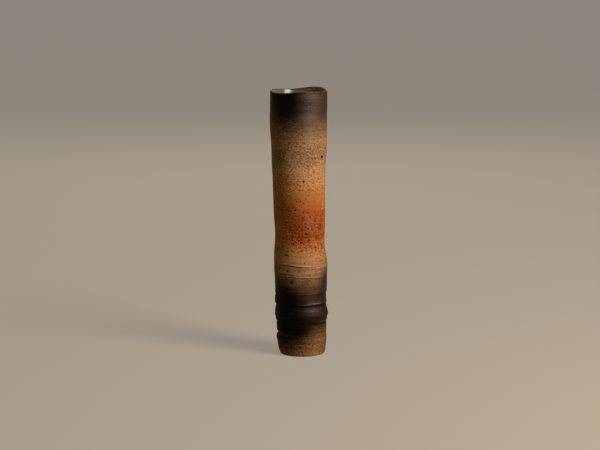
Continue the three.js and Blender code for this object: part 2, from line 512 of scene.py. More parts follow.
@dataclass
class RingSkin:
    """A closed skin of rings of points round the vase, from which a piece's mesh is made.

    Edges that turn by more degrees than the sharp angle stay crisp.
    """

    form: VaseForm
    segments: int
    ends: Ends
    radii: list[np.ndarray] = field(default_factory=list)
    levels: list[np.ndarray] = field(default_factory=list)
    shares: list[float] = field(default_factory=list)
    marks: dict[str, list[np.ndarray]] = field(default_factory=dict)
    SHARP: ClassVar[float] = 40.0
    CAP_EDGE: ClassVar[float] = 0.001

    @property
    def angles(self) -> np.ndarray:
        """Angles of the points of a ring, in radians, from the back round by the left."""
        return -math.pi + TURN * np.arange(self.segments) / self.segments

    def add(self, radii: np.ndarray, levels: np.ndarray, share: float, marks: Marks | None = None) -> None:
        """Add rings, in the order in which the skin runs.

        Args:
            radii: One row for each ring, or one number for each ring.
            levels: One level for each ring.
            share: How much of the skin's surface map these rings take, beside the other stretches.
            marks: Named values at the points, for the finish to read.
        """
        given = marks or {}
        count = len(levels)
        full = np.broadcast_to(np.reshape(radii, (count, -1)), (count, self.segments))
        for row, level in zip(full, levels):
            self.radii.append(row)
            self.levels.append(np.full(self.segments, level))
            self.shares.append(share / count)
        for name in sorted({*self.marks, *given}):
            rows = self.marks.setdefault(name, [])
            while len(rows) < len(self.radii) - count:
                rows.append(np.zeros(self.segments))
            rows.extend(given.get(name, np.zeros((count, self.segments))))

    def add_outside(self, levels: np.ndarray, share: float, spotted: bool = True) -> None:
        """Add rings of the worked outside wall.

        Args:
            levels: One level for each ring.
            share: How much of the surface map they take.
            spotted: Whether iron spots may lie on it.
        """
        column = levels[:, None]
        marks = {"worked": self.form.worked(self.angles, column)}
        if spotted:
            marks["iron"] = self.form.iron(self.angles, column)
        self.add(self.form.outside(self.angles, column), levels, share, marks)

    def faces(self) -> list[tuple[int, ...]]:
        """List the faces, which all point out of the piece.

        Returns:
            The corners of each face.
        """
        rings, around = len(self.radii), self.segments
        poles = self.ends is Ends.POLES
        made = []
        for ring in range(rings - 1 if poles else rings):
            low, high = ring * around, (ring + 1) % rings * around
            for step in range(around):
                nxt = (step + 1) % around
                made.append((low + step, low + nxt, high + nxt, high + step))
        if poles:
            first, final = rings * around, rings * around + 1
            top = (rings - 1) * around
            for step in range(around):
                nxt = (step + 1) % around
                made.append((first, nxt, step))
                made.append((final, top + step, top + nxt))
        return made

    def surface_map(self) -> np.ndarray:
        """Unroll the piece onto its own flat map.

        Returns:
            Place of each face corner, in the order of the faces.
        """
        around = self.segments
        poles = self.ends is Ends.POLES
        heights = np.concatenate(([0.0], np.cumsum(self.shares)))
        heights = heights / heights[-1]
        left = np.arange(around) / around
        right = (np.arange(around) + 1.0) / around
        edges = heights[1:] if poles else heights
        rows = []
        for bottom, top in zip(edges[:-1], edges[1:]):
            low, high = np.full(around, bottom), np.full(around, top)
            rows.append(np.stack([left, low, right, low, right, high, left, high], axis=1).ravel())
        if poles:
            middle = (left + right) / 2.0
            edge = np.full(around, heights[1])
            top = np.full(around, heights[-1] - self.CAP_EDGE)
            under = np.stack([middle, np.zeros(around), right, edge, left, edge], axis=1)
            over = np.stack([middle, np.ones(around), left, top, right, top], axis=1)
            rows.append(np.concatenate([under, over], axis=1).ravel())
        return np.concatenate(rows)

    def piece(self, name: str, material: bpy.types.Material) -> bpy.types.Object:
        """Make the mesh object of the skin.

        Args:
            name: The piece's name.
            material: Its finish.

        Returns:
            The linked object.
        """
        points = self.form.place(self.angles, np.array(self.radii), np.array(self.levels))
        corners = points.reshape(-1, 3)
        if self.ends is Ends.POLES:
            corners = np.concatenate([corners, [points[0].mean(0), points[-1].mean(0)]])
        mesh = bpy.data.meshes.new(name)
        mesh.from_pydata(corners.tolist(), [], self.faces())
        mesh.uv_layers.new(name="OFBake").data.foreach_set("uv", self.surface_map())
        for mark, rows in self.marks.items():
            values = np.zeros(len(mesh.vertices))
            values[: len(rows) * self.segments] = np.array(rows).ravel()
            mesh.attributes.new(mark, "FLOAT", "POINT").data.foreach_set("value", values)
        mesh.shade_smooth()
        mesh.set_sharp_from_angle(angle=math.radians(self.SHARP))
        mesh.materials.append(material)
        return stand(name, mesh)


class Value:
    """A number that varies over a surface. Arithmetic on it adds Math nodes."""

    def __init__(self, bench: "NodeBench", socket: bpy.types.NodeSocket) -> None:
        """Wrap an output socket of the bench's node tree."""
        self.bench = bench
        self.socket = socket

    def __add__(self, other: "Value | float") -> "Value":
        """Sum."""
        return self.bench.math("ADD", self, other)

    def __sub__(self, other: "Value | float") -> "Value":
        """Difference."""
        return self.bench.math("SUBTRACT", self, other)

    def __rsub__(self, other: float) -> "Value":
        """Difference from a plain number."""
        return self.bench.math("SUBTRACT", other, self)

    def __mul__(self, other: "Value | float") -> "Value":
        """Product."""
        return self.bench.math("MULTIPLY", self, other)

    def __truediv__(self, other: "Value | float") -> "Value":
        """Quotient."""
        return self.bench.math("DIVIDE", self, other)

    def __rtruediv__(self, other: float) -> "Value":
        """Quotient of a plain number by this one."""
        return self.bench.math("DIVIDE", other, self)

    def __pow__(self, other: float) -> "Value":
        """Power."""
        return self.bench.math("POWER", self, other)

    def __rpow__(self, other: float) -> "Value":
        """Power of a plain number."""
        return self.bench.math("POWER", other, self)

    def __neg__(self) -> "Value":
        """Opposite number."""
        return self.bench.math("MULTIPLY", self, -1.0)

    __radd__ = __add__
    __rmul__ = __mul__


class NodeBench:
    """The node tree of one material or of the world, and the ways to add nodes to it."""

    def __init__(self, tree: bpy.types.NodeTree) -> None:
        """Start with an empty tree."""
        self.tree = tree
        tree.nodes.clear()

    def node(self, kind: str, settings: dict | None = None, sockets: dict | None = None) -> bpy.types.Node:
        """Add a node of any kind.

        Args:
            kind: The node's type.
            settings: Properties of the node, which are set first.
            sockets: Values or links of its inputs, by name or number.

        Returns:
            The node.
        """
        made = self.tree.nodes.new(kind)
        for name, value in (settings or {}).items():
            setattr(made, name, value)
        for name, value in (sockets or {}).items():
            if isinstance(value, Value):
                self.tree.links.new(value.socket, made.inputs[name])
            else:
                made.inputs[name].default_value = value
        return made

    def output(self, node: bpy.types.Node, name: str | int = 0) -> Value:
        """Wrap one of a node's outputs."""
        return Value(self, node.outputs[name])

    def math(self, operation: str, *values: "Value | float") -> Value:
        """Add a Math node on up to three values."""
        return self.output(self.node("ShaderNodeMath", {"operation": operation}, dict(enumerate(values))))

    def vector(self, operation: str, *values: "Value | tuple") -> Value:
        """Add a Vector Math node on up to three vectors."""
        sockets = dict(enumerate(values))
        return self.output(self.node("ShaderNodeVectorMath", {"operation": operation}, sockets))

    def mix(self, factor: "Value | float", first: "Value | Colour", second: "Value | Colour") -> Value:
        """Blend two colours: the first at factor 0 and the second at 1."""
        made = self.node("ShaderNodeMix", {"data_type": "RGBA"}, {0: factor, 6: first, 7: second})
        return self.output(made, 2)

    def smooth(self, value: Value, low: float, high: float) -> Value:
        """Rise smoothly from 0 at low to 1 at high, or fall where low is the greater."""
        sockets = {0: value, 1: low, 2: high, 3: 0.0, 4: 1.0}
        return self.output(self.node("ShaderNodeMapRange", {"interpolation_type": "SMOOTHSTEP"}, sockets))

    def seen(self) -> Value:
        """Tell looks from light.

        Returns:
            1 where the camera, a reflection or a clear thing looks at the surface, and 0 for its light.
        """
        path = self.node("ShaderNodeLightPath")
        direct = self.output(path, "Is Camera Ray") + self.output(path, "Is Glossy Ray")
        return direct + self.output(path, "Is Transmission Ray")

    def mark(self, name: str) -> Value:
        """Read a named value that the mesh carries at its points; it is 0 where the mesh has none."""
        return self.output(self.node("ShaderNodeAttribute", {"attribute_name": name}), "Fac")

    def clad(self, shader: bpy.types.Node) -> None:
        """Let a shader be the surface of the material."""
        self.node("ShaderNodeOutputMaterial", None, {"Surface": self.output(shader)})


def new_material(name: str) -> tuple[bpy.types.Material, NodeBench]:
    """Start a material with an empty node tree.

    Args:
        name: The material's name.

    Returns:
        The material and its nodes.
    """
    material = bpy.data.materials.new(name)
    material.use_nodes = True
    return material, NodeBench(material.node_tree)


class Skin:
    """Where a point lies on the vase, in millimetres and radians."""

    FAR_SIDE: ClassVar[Range] = (0.5, 0.3)
    FAR_AWAY: ClassVar[float] = 10.0

    def __init__(self, bench: NodeBench, form: VaseForm) -> None:
        """Read the point's place in the vase's own frame.

        Args:
            bench: The material's nodes.
            form: The vase's surface.
        """
        self.bench = bench
        self.radius = form.radius
        metres = bench.output(bench.node("ShaderNodeTexCoord"), "Object")
        self.spot = bench.vector("MULTIPLY", metres, (1.0 / MM,) * 3)
        parts = bench.node("ShaderNodeSeparateXYZ", None, {0: self.spot})
        x, y = bench.output(parts, "X"), bench.output(parts, "Y")
        self.height = bench.output(parts, "Z")
        fall = bench.math("EXPONENT", -((self.height / form.lean_height) ** 2.0))
        self.angle = bench.math("ARCTAN2", x + form.lean * (1.0 - fall), -y)

    def scaled(self, size: tuple[float, float, float], shift: float) -> Value:
        """The point's place in units of a size along x, y and z, moved by a shift."""
        scale = tuple(1.0 / length for length in size)
        return self.bench.vector("MULTIPLY_ADD", self.spot, scale, (shift,) * 3)

    def towards(self, degrees: float) -> Value:
        """1 on the side at that angle, 0 on the opposite side, and smooth between."""
        return self.bench.math("COSINE", self.angle - math.radians(degrees)) * 0.5 + 0.5

    def patch(self, degrees: float, height: float, across: float, tall: float) -> Value:
        """Distance from a place on the wall.

        Args:
            degrees: The place's angle.
            height: Its height.
            across: Half the patch's width.
            tall: Half the patch's height.

        Returns:
            0 at the place, 1 at the edge of the patch, and much more on the far side of the vase.
        """
        side = self.bench.math("SINE", self.angle - math.radians(degrees)) * (self.radius / across)
        up = (self.height - height) / tall
        behind = self.bench.smooth(self.towards(degrees), *self.FAR_SIDE) * self.FAR_AWAY
        return self.bench.math("SQRT", side * side + up * up) + behind


@dataclass(frozen=True)
class Grain:
    """A soft noise: the size of its features along x, y and z, its finer layers and its own shift."""

    size: tuple[float, float, float]
    layers: float
    shift: float = 0.0

    def on(self, skin: Skin) -> Value:
        """Lay the noise over the vase.

        Args:
            skin: Places on the vase.

        Returns:
            The noise about zero, within about a half each way.
        """
        sockets = {"Vector": skin.scaled(self.size, self.shift), "Scale": 1.0, "Detail": self.layers}
        return skin.bench.output(skin.bench.node("ShaderNodeTexNoise", None, sockets), "Fac") - 0.5


@dataclass(frozen=True)
class Specks:
    """Round specks: the gap between their places, the largest radius, the share of places used, a shift."""

    gap: float
    size: float
    share: float
    shift: float = 0.0
    EDGE: ClassVar[float] = 0.45
    LEAST: ClassVar[float] = 0.001

    def on(self, skin: Skin) -> Value:
        """Strew the specks through the clay.

        Args:
            skin: Places on the vase.

        Returns:
            1 in a speck and 0 outside.
        """
        bench = skin.bench
        sockets = {"Vector": skin.scaled((self.gap,) * 3, self.shift), "Scale": 1.0}
        cells = bench.node("ShaderNodeTexVoronoi", None, sockets)
        parts = bench.node("ShaderNodeSeparateColor", None, {0: bench.output(cells, "Color")})
        reach = bench.smooth(bench.output(parts), 1.0 - self.share, 1.0) * (self.size / self.gap)
        near = 1.0 - bench.output(cells, "Distance") / (reach + self.LEAST)
        return bench.smooth(near, 0.0, self.EDGE)


@dataclass(frozen=True)
class Fade:
    """A soft step from nothing at one number to full strength at another, which may be the smaller."""

    none: float
    full: float
    strength: float = 1.0

    def of(self, value: Value) -> Value:
        """How far a value has come from nothing to full strength."""
        step = value.bench.smooth(value, self.none, self.full)
        return step if self.strength == 1.0 else step * self.strength


@dataclass(frozen=True)
class Belt:
    """A belt round the vase: the heights where it begins, is full, thins again and ends."""

    begins: float
    full: float
    thins: float
    ends: float

    def of(self, height: Value) -> Value:
        """1 in the belt and 0 outside, by a height that may be broken up."""
        return Fade(self.begins, self.full).of(height) * Fade(self.ends, self.thins).of(height)


@dataclass(frozen=True)
class Side:
    """One side of the vase: its angle, and how nearly a point faces it where it begins and is full."""

    angle: float
    begins: float
    full: float
    strength: float = 1.0

    def on(self, skin: Skin, uneven: Value | None = None) -> Value:
        """Find that side.

        Args:
            skin: Places on the vase.
            uneven: Noise that breaks up its edge.

        Returns:
            Its strength on that side and 0 away from it.
        """
        facing = skin.towards(self.angle)
        edge = facing if uneven is None else facing + uneven
        return Fade(self.begins, self.full, self.strength).of(edge)


@dataclass(frozen=True)
class Lobe:
    """Something that swells towards one side: its angle, its strength there and how narrow it is."""

    angle: float
    strength: float
    power: float

    def on(self, skin: Skin) -> Value:
        """Its strength round the vase."""
        return self.strength * skin.towards(self.angle) ** self.power


@dataclass(frozen=True)
class Blot:
    """A patch on the wall: its place, half its width and height, its edge, strength and raggedness."""

    angle: float
    height: float
    across: float
    tall: float
    outer: float
    inner: float
    strength: float = 1.0
    ragged: float = 1.0

    def on(self, skin: Skin, uneven: Value | None = None) -> Value:
        """Lay the patch on the wall.

        Args:
            skin: Places on the vase.
            uneven: Noise that breaks up its edge.

        Returns:
            Its strength inside it and 0 outside.
        """
        away = skin.patch(self.angle, self.height, self.across, self.tall)
        if uneven is not None:
            away = away + self.ragged * uneven
        return Fade(self.outer, self.inner, self.strength).of(away)


@dataclass
class ClayMap:
    """What varies over the clay: noises, relief, a broken-up height, and what hands and fire left."""

    skin: Skin
    cloud: Value
    mottle: Value
    grit: Value
    streak: Value
    ridge: Value
    worked: Value = field(init=False)
    bare: Value = field(init=False)
    edge: Value = field(init=False)
    flush: Value = field(init=False)
    ribs: Value = field(init=False)
    groove: Value = field(init=False)
    smear: Value = field(init=False)
    soot: Value = field(init=False)


@dataclass(frozen=True)
class Blend:
    """How much of each noise goes into a sum."""

    cloud: float = 0.0
    mottle: float = 0.0
    grit: float = 0.0
    streak: float = 0.0
    ridge: float = 0.0

    def of(self, here: ClayMap) -> Value:
        """Add up the noises.

        Args:
            here: What varies over the clay.

        Returns:
            The sum.
        """
        noises = (here.cloud, here.mottle, here.grit, here.streak, here.ridge)
        shares = (self.cloud, self.mottle, self.grit, self.streak, self.ridge)
        parts = [share * noise for share, noise in zip(shares, noises) if share]
        return sum(parts[1:], parts[0])


@dataclass(frozen=True)
class FiredClay:
    """Bare stoneware from the kiln: tan clay, an orange flush, soot at the collar and over the ribs."""

    name: str
    form: VaseForm
    darker: float = 0.0

    # Colours of the clay, the flame, the smoke and the iron.
    tan: Colour = shade(185, 136, 94)
    cream: Colour = shade(215, 169, 121)
    amber: Colour = shade(194, 119, 55)
    flame: Colour = shade(183, 88, 33)
    spark: Colour = shade(206, 122, 56)
    ember: Colour = shade(96, 38, 8)
    rose: Colour = shade(164, 100, 68)
    foot: Colour = shade(148, 103, 66)
    umber: Colour = shade(78, 50, 30)
    soot: Colour = shade(20, 13, 9)
    smoke: Colour = shade(63, 38, 21)
    # Painted sheen: a mauve colour that stands for the shine on the soot right of the front.
    painted_sheen: Colour = shade(90, 69, 60)
    # Painted highlight: the pale colour laid along the lower lip of the upper rib on its lit side.
    painted_highlight: Colour = shade(140, 114, 99)
    rust: Colour = shade(108, 68, 42)
    speck: Colour = shade(50, 32, 20)
    iron: Colour = shade(24, 23, 25)
    bare: Colour = shade(92, 58, 42)
    # Painted shade: a darker olive tint for the left side.
    painted_shade_tint: Colour = (0.84, 0.92, 0.76, 1.0)
    glint: Colour = (1.0, 0.72, 0.52, 1.0)

    # Noises.
    cloud: Grain = Grain((34.0, 34.0, 26.0), 3.0)
    mottle: Grain = Grain((9.0, 9.0, 6.0), 3.0, 5.0)
    grit: Grain = Grain((2.7, 2.7, 2.0), 2.0, 11.0)
    streak: Grain = Grain((60.0, 60.0, 2.4), 4.0, 17.0)
    ridge: Grain = Grain((70.0, 70.0, 6.0), 2.0, 31.0)
    drawn: Grain = Grain((44.0, 44.0, 5.0), 2.0, 41.0)
    melt: Grain = Grain((1.1, 1.1, 1.1), 1.0, 23.0)
    tooth: Grain = Grain((0.7, 0.7, 0.5), 1.0, 29.0)

    # Shine and fine relief.
    dull: float = 0.8
    satin: float = 0.5
    ior: float = 1.12
    ash_satin: float = 0.44
    ash_ior: float = 1.5
    flush_gloss: float = 0.1
    iron_gloss: float = 0.3
    groove_dullness: float = 0.3
    rough_blend: Blend = Blend(grit=0.2, streak=0.2)
    bump_blend: Blend = Blend(grit=0.3, streak=0.22)
    soot_bumps: Blend = Blend(streak=0.5, ridge=0.9)
    tooth_height: float = 0.14
    ash_side: Side = Side(30.0, 0.86, 1.0)
    ash_low: Fade = Fade(50.0, 60.0, 0.23)
    ash_high: Fade = Fade(200.0, 330.0, 0.4)
    ash_blend: Blend = Blend(grit=2.6, streak=1.82, ridge=2.6)

    # The clay's tan, with pale drifts, smears over the lapped joint, a worn foot, cream on the right between
    # about 234 and 272 mm, and umber towards the right edge.
    edge_blend: Blend = Blend(cloud=16.0, mottle=12.0, streak=6.0)
    rib_belt: Belt = Belt(30.0, 44.0, 98.0, 112.0)
    smear_belt: Belt = Belt(98.0, 112.0, 142.0, 160.0)
    pale_blend: Blend = Blend(cloud=0.8, streak=0.7)
    pale_fade: Fade = Fade(0.04, 0.36, 0.65)
    smear_lines: float = 1.3
    smear_pale: float = 0.1
    smear_dark: Fade = Fade(-0.05, -0.25, 0.5)
    drift: Blend = Blend(cloud=24.0)
    bright_belt: Belt = Belt(234.0, 248.0, 258.0, 272.0)
    bright_side: Side = Side(50.0, 0.5, 0.95, 0.5)
    dusky_belt: Belt = Belt(266.0, 284.0, 300.0, 318.0)
    dusky: float = 0.3
    rust_fade: Fade = Fade(160.0, 92.0, 0.8)
    foot_fade: Fade = Fade(44.0, 14.0, 0.95)
    sole_fade: Fade = Fade(9.0, 1.0, 0.5)
    dusk_side: Side = Side(96.0, 0.74, 0.95, 0.36)
    dusk_fade: Fade = Fade(180.0, 135.0)

    # The flush, and the amber, embers, umber patches and pale marks round it.
    flush_blend: Blend = Blend(mottle=0.6, grit=0.72)
    flush_grit: float = 32.0
    flush_dip: Lobe = Lobe(62.0, 4.0, 6.0)
    flush_low: Fade = Fade(149.0, 175.0)
    flush_high: Fade = Fade(238.0, 198.0)
    flush_front: Side = Side(42.0, 0.44, 0.84)
    flush_back: Side = Side(-146.0, 0.62, 0.98, 0.5)
    warm_blend: Blend = Blend(mottle=1.0, streak=1.0)
    amber_belt: Belt = Belt(104.0, 176.0, 228.0, 290.0)
    amber_strength: float = 0.9
    # Two umber patches on the left of the front.
    umber_patches: tuple[Blot, ...] = (
        Blot(-20.0, 213.0, 21.0, 24.0, 1.3, 0.4, 0.26, 1.6),
        Blot(-43.0, 289.0, 11.0, 12.0, 1.3, 0.4, 0.4, 1.6),
    )
    heart: Blot = Blot(0.0, 186.0, 17.0, 22.0, 1.4, 0.2, 0.45, 2.4)
    burns: tuple[Blot, ...] = (
        Blot(30.0, 175.0, 26.0, 5.0, 1.4, 0.3, 0.4, 3.0),
        Blot(56.0, 190.0, 5.0, 10.0, 1.3, 0.3, 0.4, 2.0),
    )
    blush: Blot = Blot(24.0, 190.0, 10.0, 21.0, 1.3, 0.3, 0.55, 1.5)
    drip: Blot = Blot(62.0, 218.0, 1.3, 9.0, 1.3, 0.5, 0.7)

    # Sand and specks.
    sand_blend: Blend = Blend(grit=1.0, streak=0.33)
    calm: Blot = Blot(25.0, 226.0, 42.0, 17.0, 1.2, 0.5, 0.4)
    hot: Blot = Blot(0.0, 196.0, 44.0, 44.0, 1.2, 0.6)
    low_sand: Fade = Fade(70.0, 45.0, 0.35)
    high_sand: Fade = Fade(236.0, 262.0, 0.12)
    pale_sand: Fade = Fade(-0.01, -0.17)
    pale_share: float = 0.6
    pale_flushed: float = 0.3
    pale_smeared: float = 0.25
    pale_hot: float = 0.1
    dark_sand: Fade = Fade(0.0, 0.19)
    dark_share: float = 0.7
    dark_flushed: float = 0.2
    dark_smeared: float = 0.34
    fine: Specks = Specks(2.0, 0.95, 0.9)
    coarse: Specks = Specks(5.0, 1.15, 0.45, 7.0)
    burnt: Specks = Specks(3.0, 1.4, 1.0, 13.0)
    speck_drift: Blend = Blend(cloud=40.0)
    dense_fade: Fade = Fade(235.0, 285.0, 0.3)
    fine_share: float = 0.3
    fine_flushed: float = 0.3
    burnt_patch: Blot = Blot(-10.0, 198.0, 26.0, 42.0, 1.2, 0.7, 0.9)
    coarse_share: float = 0.44

    # Where the clay is smoked dark, what colour the smoke has, and the painted sheen and painted reflection
    # on it.
    soot_grit: float = 10.0
    calm_blend: Blend = Blend(cloud=10.0, mottle=5.0, grit=8.0, streak=5.0)
    collar_fade: Fade = Fade(298.0, 360.0)
    collar_drops: tuple[Lobe, ...] = (Lobe(-18.0, 8.0, 6.0), Lobe(60.0, 5.0, 6.0))
    thin_left: Lobe = Lobe(-105.0, 0.85, 10.0)
    thin_left_fade: Fade = Fade(385.0, 335.0)
    thin_right: Lobe = Lobe(92.0, 0.06, 6.0)
    band_top: Fade = Fade(121.0, 83.0)
    band_left: Lobe = Lobe(-90.0, 16.0, 3.0)
    band_back: Side = Side(150.0, 0.2, 0.78, 23.0)
    band_right: Side = Side(80.0, 0.83, 0.96, 5.0)
    band_bottom: Fade = Fade(-14.0, 30.0)
    foot_lift: Side = Side(82.0, 0.36, 1.0, 30.0)
    ledge: Blot = Blot(-62.0, 30.4, 26.0, 2.0, 1.3, 0.4, 0.25)
    smoke_blend: Blend = Blend(grit=0.7, ridge=1.0)
    smoke_edge: Blend = Blend(cloud=0.3, grit=0.21, ridge=0.3)
    smoke_high: Fade = Fade(120.0, 330.0)
    smoke_right: Side = Side(72.0, 0.62, 1.0)
    smoke_back: Side = Side(180.0, 0.5, 0.95, 0.6)
    smoke_band: Fade = Fade(84.0, 104.0, 0.5)
    smoke_share: float = 0.3
    smoke_lost: float = 0.25
    # Painted sheen on the ribs and the collar, centred right of the front where the shine falls.
    rib_painted_sheen: Lobe = Lobe(29.0, 0.32, 20.0)
    rib_painted_sheen_fade: Fade = Fade(45.0, 75.0)
    collar_painted_sheen: Lobe = Lobe(29.0, 0.68, 30.0)
    painted_sheen_uneven: float = 1.2
    # Painted reflection: a faint pale patch on the left of the lower rib.
    painted_reflection_patch: Blot = Blot(-26.0, 63.0, 9.0, 4.5, 1.3, 0.2, 0.13)

    # Wear and painted light: grooves keep the soot and are painted with shade, hollows are painted with
    # shade, ridges are pale from wear and a painted highlight, the rib lip has a painted highlight, the left
    # side is tinted with painted shade, and the lip is bare.
    groove_fade: Fade = Fade(-0.05, -0.35)
    # Grooves on the ribs take the soot colour, partly as soot and partly as painted shade.
    groove_soot_and_shade: float = 0.9
    groove_painted_shade: float = 0.75
    # Ridges are paler, partly from wear and partly as a painted highlight.
    ridge_wear_and_highlight_blend: Blend = Blend(cloud=0.6, mottle=0.8, streak=0.9)
    ridge_wear_and_highlight_fade: Fade = Fade(0.12, 0.7, 0.5)
    # Painted shade: umber in the hollows under the creases.
    hollow_painted_shade_grit: float = 0.5
    hollow_painted_shade_fade: Fade = Fade(-0.08, -0.6, 0.75)
    # Painted highlight along the upper rib's lip, only on the side that faces the light.
    painted_highlight_blend: Blend = Blend(grit=0.5, streak=0.4)
    painted_highlight_fade: Fade = Fade(0.4, 1.15)
    painted_highlight_side: Side = Side(25.0, 0.935, 0.992, 0.8)
    # Painted shade on the left side.
    painted_shade_side: Side = Side(-70.0, 0.6, 0.95)
    bare_grit: float = 0.5
    bare_fade: Fade = Fade(0.6, 0.9)
    bare_ash: Fade = Fade(0.0, 0.5)
    melt_weight: float = 0.3
    iron_fade: Fade = Fade(0.42, 0.6)

    def make(self) -> bpy.types.Material:
        """Make the material.

        Returns:
            The material.
        """
        material, bench = new_material(self.name)
        here = self.read(bench)
        colour = self.weathered(here, self.fired(here))
        iron = self.iron_fade.of(bench.mark("iron") + self.melt_weight * self.melt.on(here.skin))
        colour = bench.mix(iron, colour, self.iron)
        if self.darker:
            colour = bench.mix(self.darker, colour, self.soot)
        gloss = here.soot * (self.dull - self.satin) + self.flush_gloss * here.flush
        gloss = gloss + self.iron_gloss * iron
        roughness = self.dull - gloss + self.rough_blend.of(here) + self.groove_dullness * here.groove
        bumps = self.bump_blend.of(here) + here.soot * self.soot_bumps.of(here)
        bumps = bumps + self.tooth_height * self.tooth.on(here.skin)
        normal = bench.node("ShaderNodeBump", None, {"Strength": 1.0, "Distance": MM, "Height": bumps})
        sockets = {
            "Base Color": colour,
            "Roughness": roughness,
            "Normal": bench.output(normal),
            "IOR": self.ior,
            "Specular Tint": self.glint,
            "Coat Weight": self.ash_coat(here),
            "Coat Roughness": self.ash_satin,
            "Coat IOR": self.ash_ior,
        }
        bench.clad(bench.node("ShaderNodeBsdfPrincipled", None, sockets))
        return material

    def read(self, bench: NodeBench) -> ClayMap:
        """Work out what varies over the clay.

        Args:
            bench: The material's nodes.

        Returns:
            The noises, and what hands and fire left where.
        """
        skin = Skin(bench, self.form)
        grains = (self.cloud, self.mottle, self.grit, self.streak, self.ridge)
        here = ClayMap(skin, *(grain.on(skin) for grain in grains))
        here.worked = bench.mark("worked")
        here.bare = bench.mark("bare")
        here.edge = skin.height + self.edge_blend.of(here)
        here.flush = self.flushed(here)
        here.ribs = self.rib_belt.of(here.edge)
        here.groove = self.groove_fade.of(here.worked) * here.ribs
        here.smear = self.smear_belt.of(skin.height)
        # Grooves on the ribs count as soot, which is partly real soot and partly painted shade.
        here.soot = bench.math("MAXIMUM", self.sooty(here), here.groove * self.groove_soot_and_shade)
        return here

    def flushed(self, here: ClayMap) -> Value:
        """Find where the flame flushed the clay orange: most above the waist on the right of the front.

        Args:
            here: What varies over the clay.

        Returns:
            1 in the flush and 0 outside.
        """
        edge = here.edge + self.flush_grit * here.grit
        uneven = self.flush_blend.of(here)
        band = self.flush_low.of(edge + self.flush_dip.on(here.skin)) * self.flush_high.of(edge)
        sides = (side.on(here.skin, uneven) for side in (self.flush_front, self.flush_back))
        return band * here.skin.bench.math("MAXIMUM", *sides)

    def sooty(self, here: ClayMap) -> Value:
        """Find where the clay is smoked: the collar, thinner at its sides, and the ribs down to the foot.

        Args:
            here: What varies over the clay.

        Returns:
            1 in the soot and 0 on clean clay.
        """
        skin = here.skin
        edge = here.edge + self.soot_grit * here.grit
        thin = self.thin_left_fade.of(skin.height) * self.thin_left.on(skin) + self.thin_right.on(skin)
        lowered = edge
        for drop in self.collar_drops:
            lowered = lowered + drop.on(skin)
        collar = self.collar_fade.of(lowered) * (1.0 - thin)
        rise = self.band_left.on(skin) + self.band_back.on(skin) + self.band_right.on(skin)
        calm = skin.height + self.calm_blend.of(here)
        band = self.band_top.of(edge - rise) * self.band_bottom.of(calm - self.foot_lift.on(skin))
        return skin.bench.math("MAXIMUM", collar, band * (1.0 - self.ledge.on(skin)))

    def fired(self, here: ClayMap) -> Value:
        """Colour the clay before soot and wear: its fired colours, sand, specks and umber towards the right
        edge.

        Args:
            here: What varies over the clay.

        Returns:
            The colour.
        """
        bench = here.skin.bench
        colour = self.warm(here, self.ground(here))
        colour = bench.mix(self.rust_fade.of(here.edge), colour, self.rust)
        colour = bench.mix(self.foot_fade.of(here.edge), colour, self.foot)
        colour = bench.mix(self.sole_fade.of(here.edge), colour, self.tan)
        # Umber towards the right edge, below about 135 to 180 mm.
        dusk = self.dusk_side.on(here.skin) * self.dusk_fade.of(here.edge)
        colour = bench.mix(dusk, colour, self.umber)
        return self.speckled(here, self.sandy(here, colour))

    def ground(self, here: ClayMap) -> Value:
        """Colour the clay its own tan, with paler drifts and smears.

        Args:
            here: What varies over the clay.

        Returns:
            The colour.
        """
        bench = here.skin.bench
        drawn = here.streak + self.drawn.on(here.skin)
        smeared = here.smear * (self.smear_lines * drawn + self.smear_pale)
        colour = bench.mix(self.pale_fade.of(self.pale_blend.of(here) + smeared), self.tan, self.cream)
        level = here.skin.height + self.drift.of(here)
        # Cream towards the right side, between about 234 and 272 mm.
        bright = self.bright_belt.of(level) * self.bright_side.on(here.skin)
        colour = bench.mix(bright, colour, self.cream)
        colour = bench.mix(self.dusky_belt.of(level) * self.dusky, colour, self.umber)
        return bench.mix(self.smear_dark.of(drawn) * here.smear, colour, self.umber)

    def warm(self, here: ClayMap, colour: Value) -> Value:
        """Lay the amber, flame, ember and rose of the flush over the ground.

        Args:
            here: What varies over the clay.
            colour: The ground.

        Returns:
            The colour.
        """
        skin, bench = here.skin, here.skin.bench
        uneven = self.warm_blend.of(here)
        colour = bench.mix(self.amber_belt.of(here.edge) * self.amber_strength, colour, self.amber)
        # Umber patches on the left of the front.
        for umber_patch in self.umber_patches:
            colour = bench.mix(umber_patch.on(skin, uneven), colour, self.umber)
        colour = bench.mix(here.flush, colour, self.flame)
        colour = bench.mix(here.flush * self.heart.on(skin, uneven), colour, self.ember)
        for burn in self.burns:
            colour = bench.mix(burn.on(skin, uneven), colour, self.ember)
        colour = bench.mix(self.blush.on(skin, uneven), colour, self.rose)
        return bench.mix(self.drip.on(skin, uneven), colour, self.cream)

    def sandy(self, here: ClayMap, colour: Value) -> Value:
        """Break a colour up with pale and dark grains; few lie in the smooth amber above the flush.

        Args:
            here: What varies over the clay.
            colour: The colour.

        Returns:
            The colour with its grains.
        """
        skin, bench = here.skin, here.skin.bench
        grains = self.sand_blend.of(here)
        calm, hot = self.calm.on(skin), self.hot.on(skin)
        few = self.low_sand.of(skin.height) + calm + self.pale_smeared * here.smear + self.pale_hot * hot
        pale = self.pale_sand.of(grains) * (self.pale_share - self.pale_flushed * here.flush - few)
        colour = bench.mix(pale, colour, bench.mix(hot, self.cream, self.spark))
        few = self.high_sand.of(skin.height) + calm + self.dark_smeared * here.smear
        dark = self.dark_sand.of(grains) * (self.dark_share + self.dark_flushed * here.flush - few)
        return bench.mix(dark, colour, self.umber)

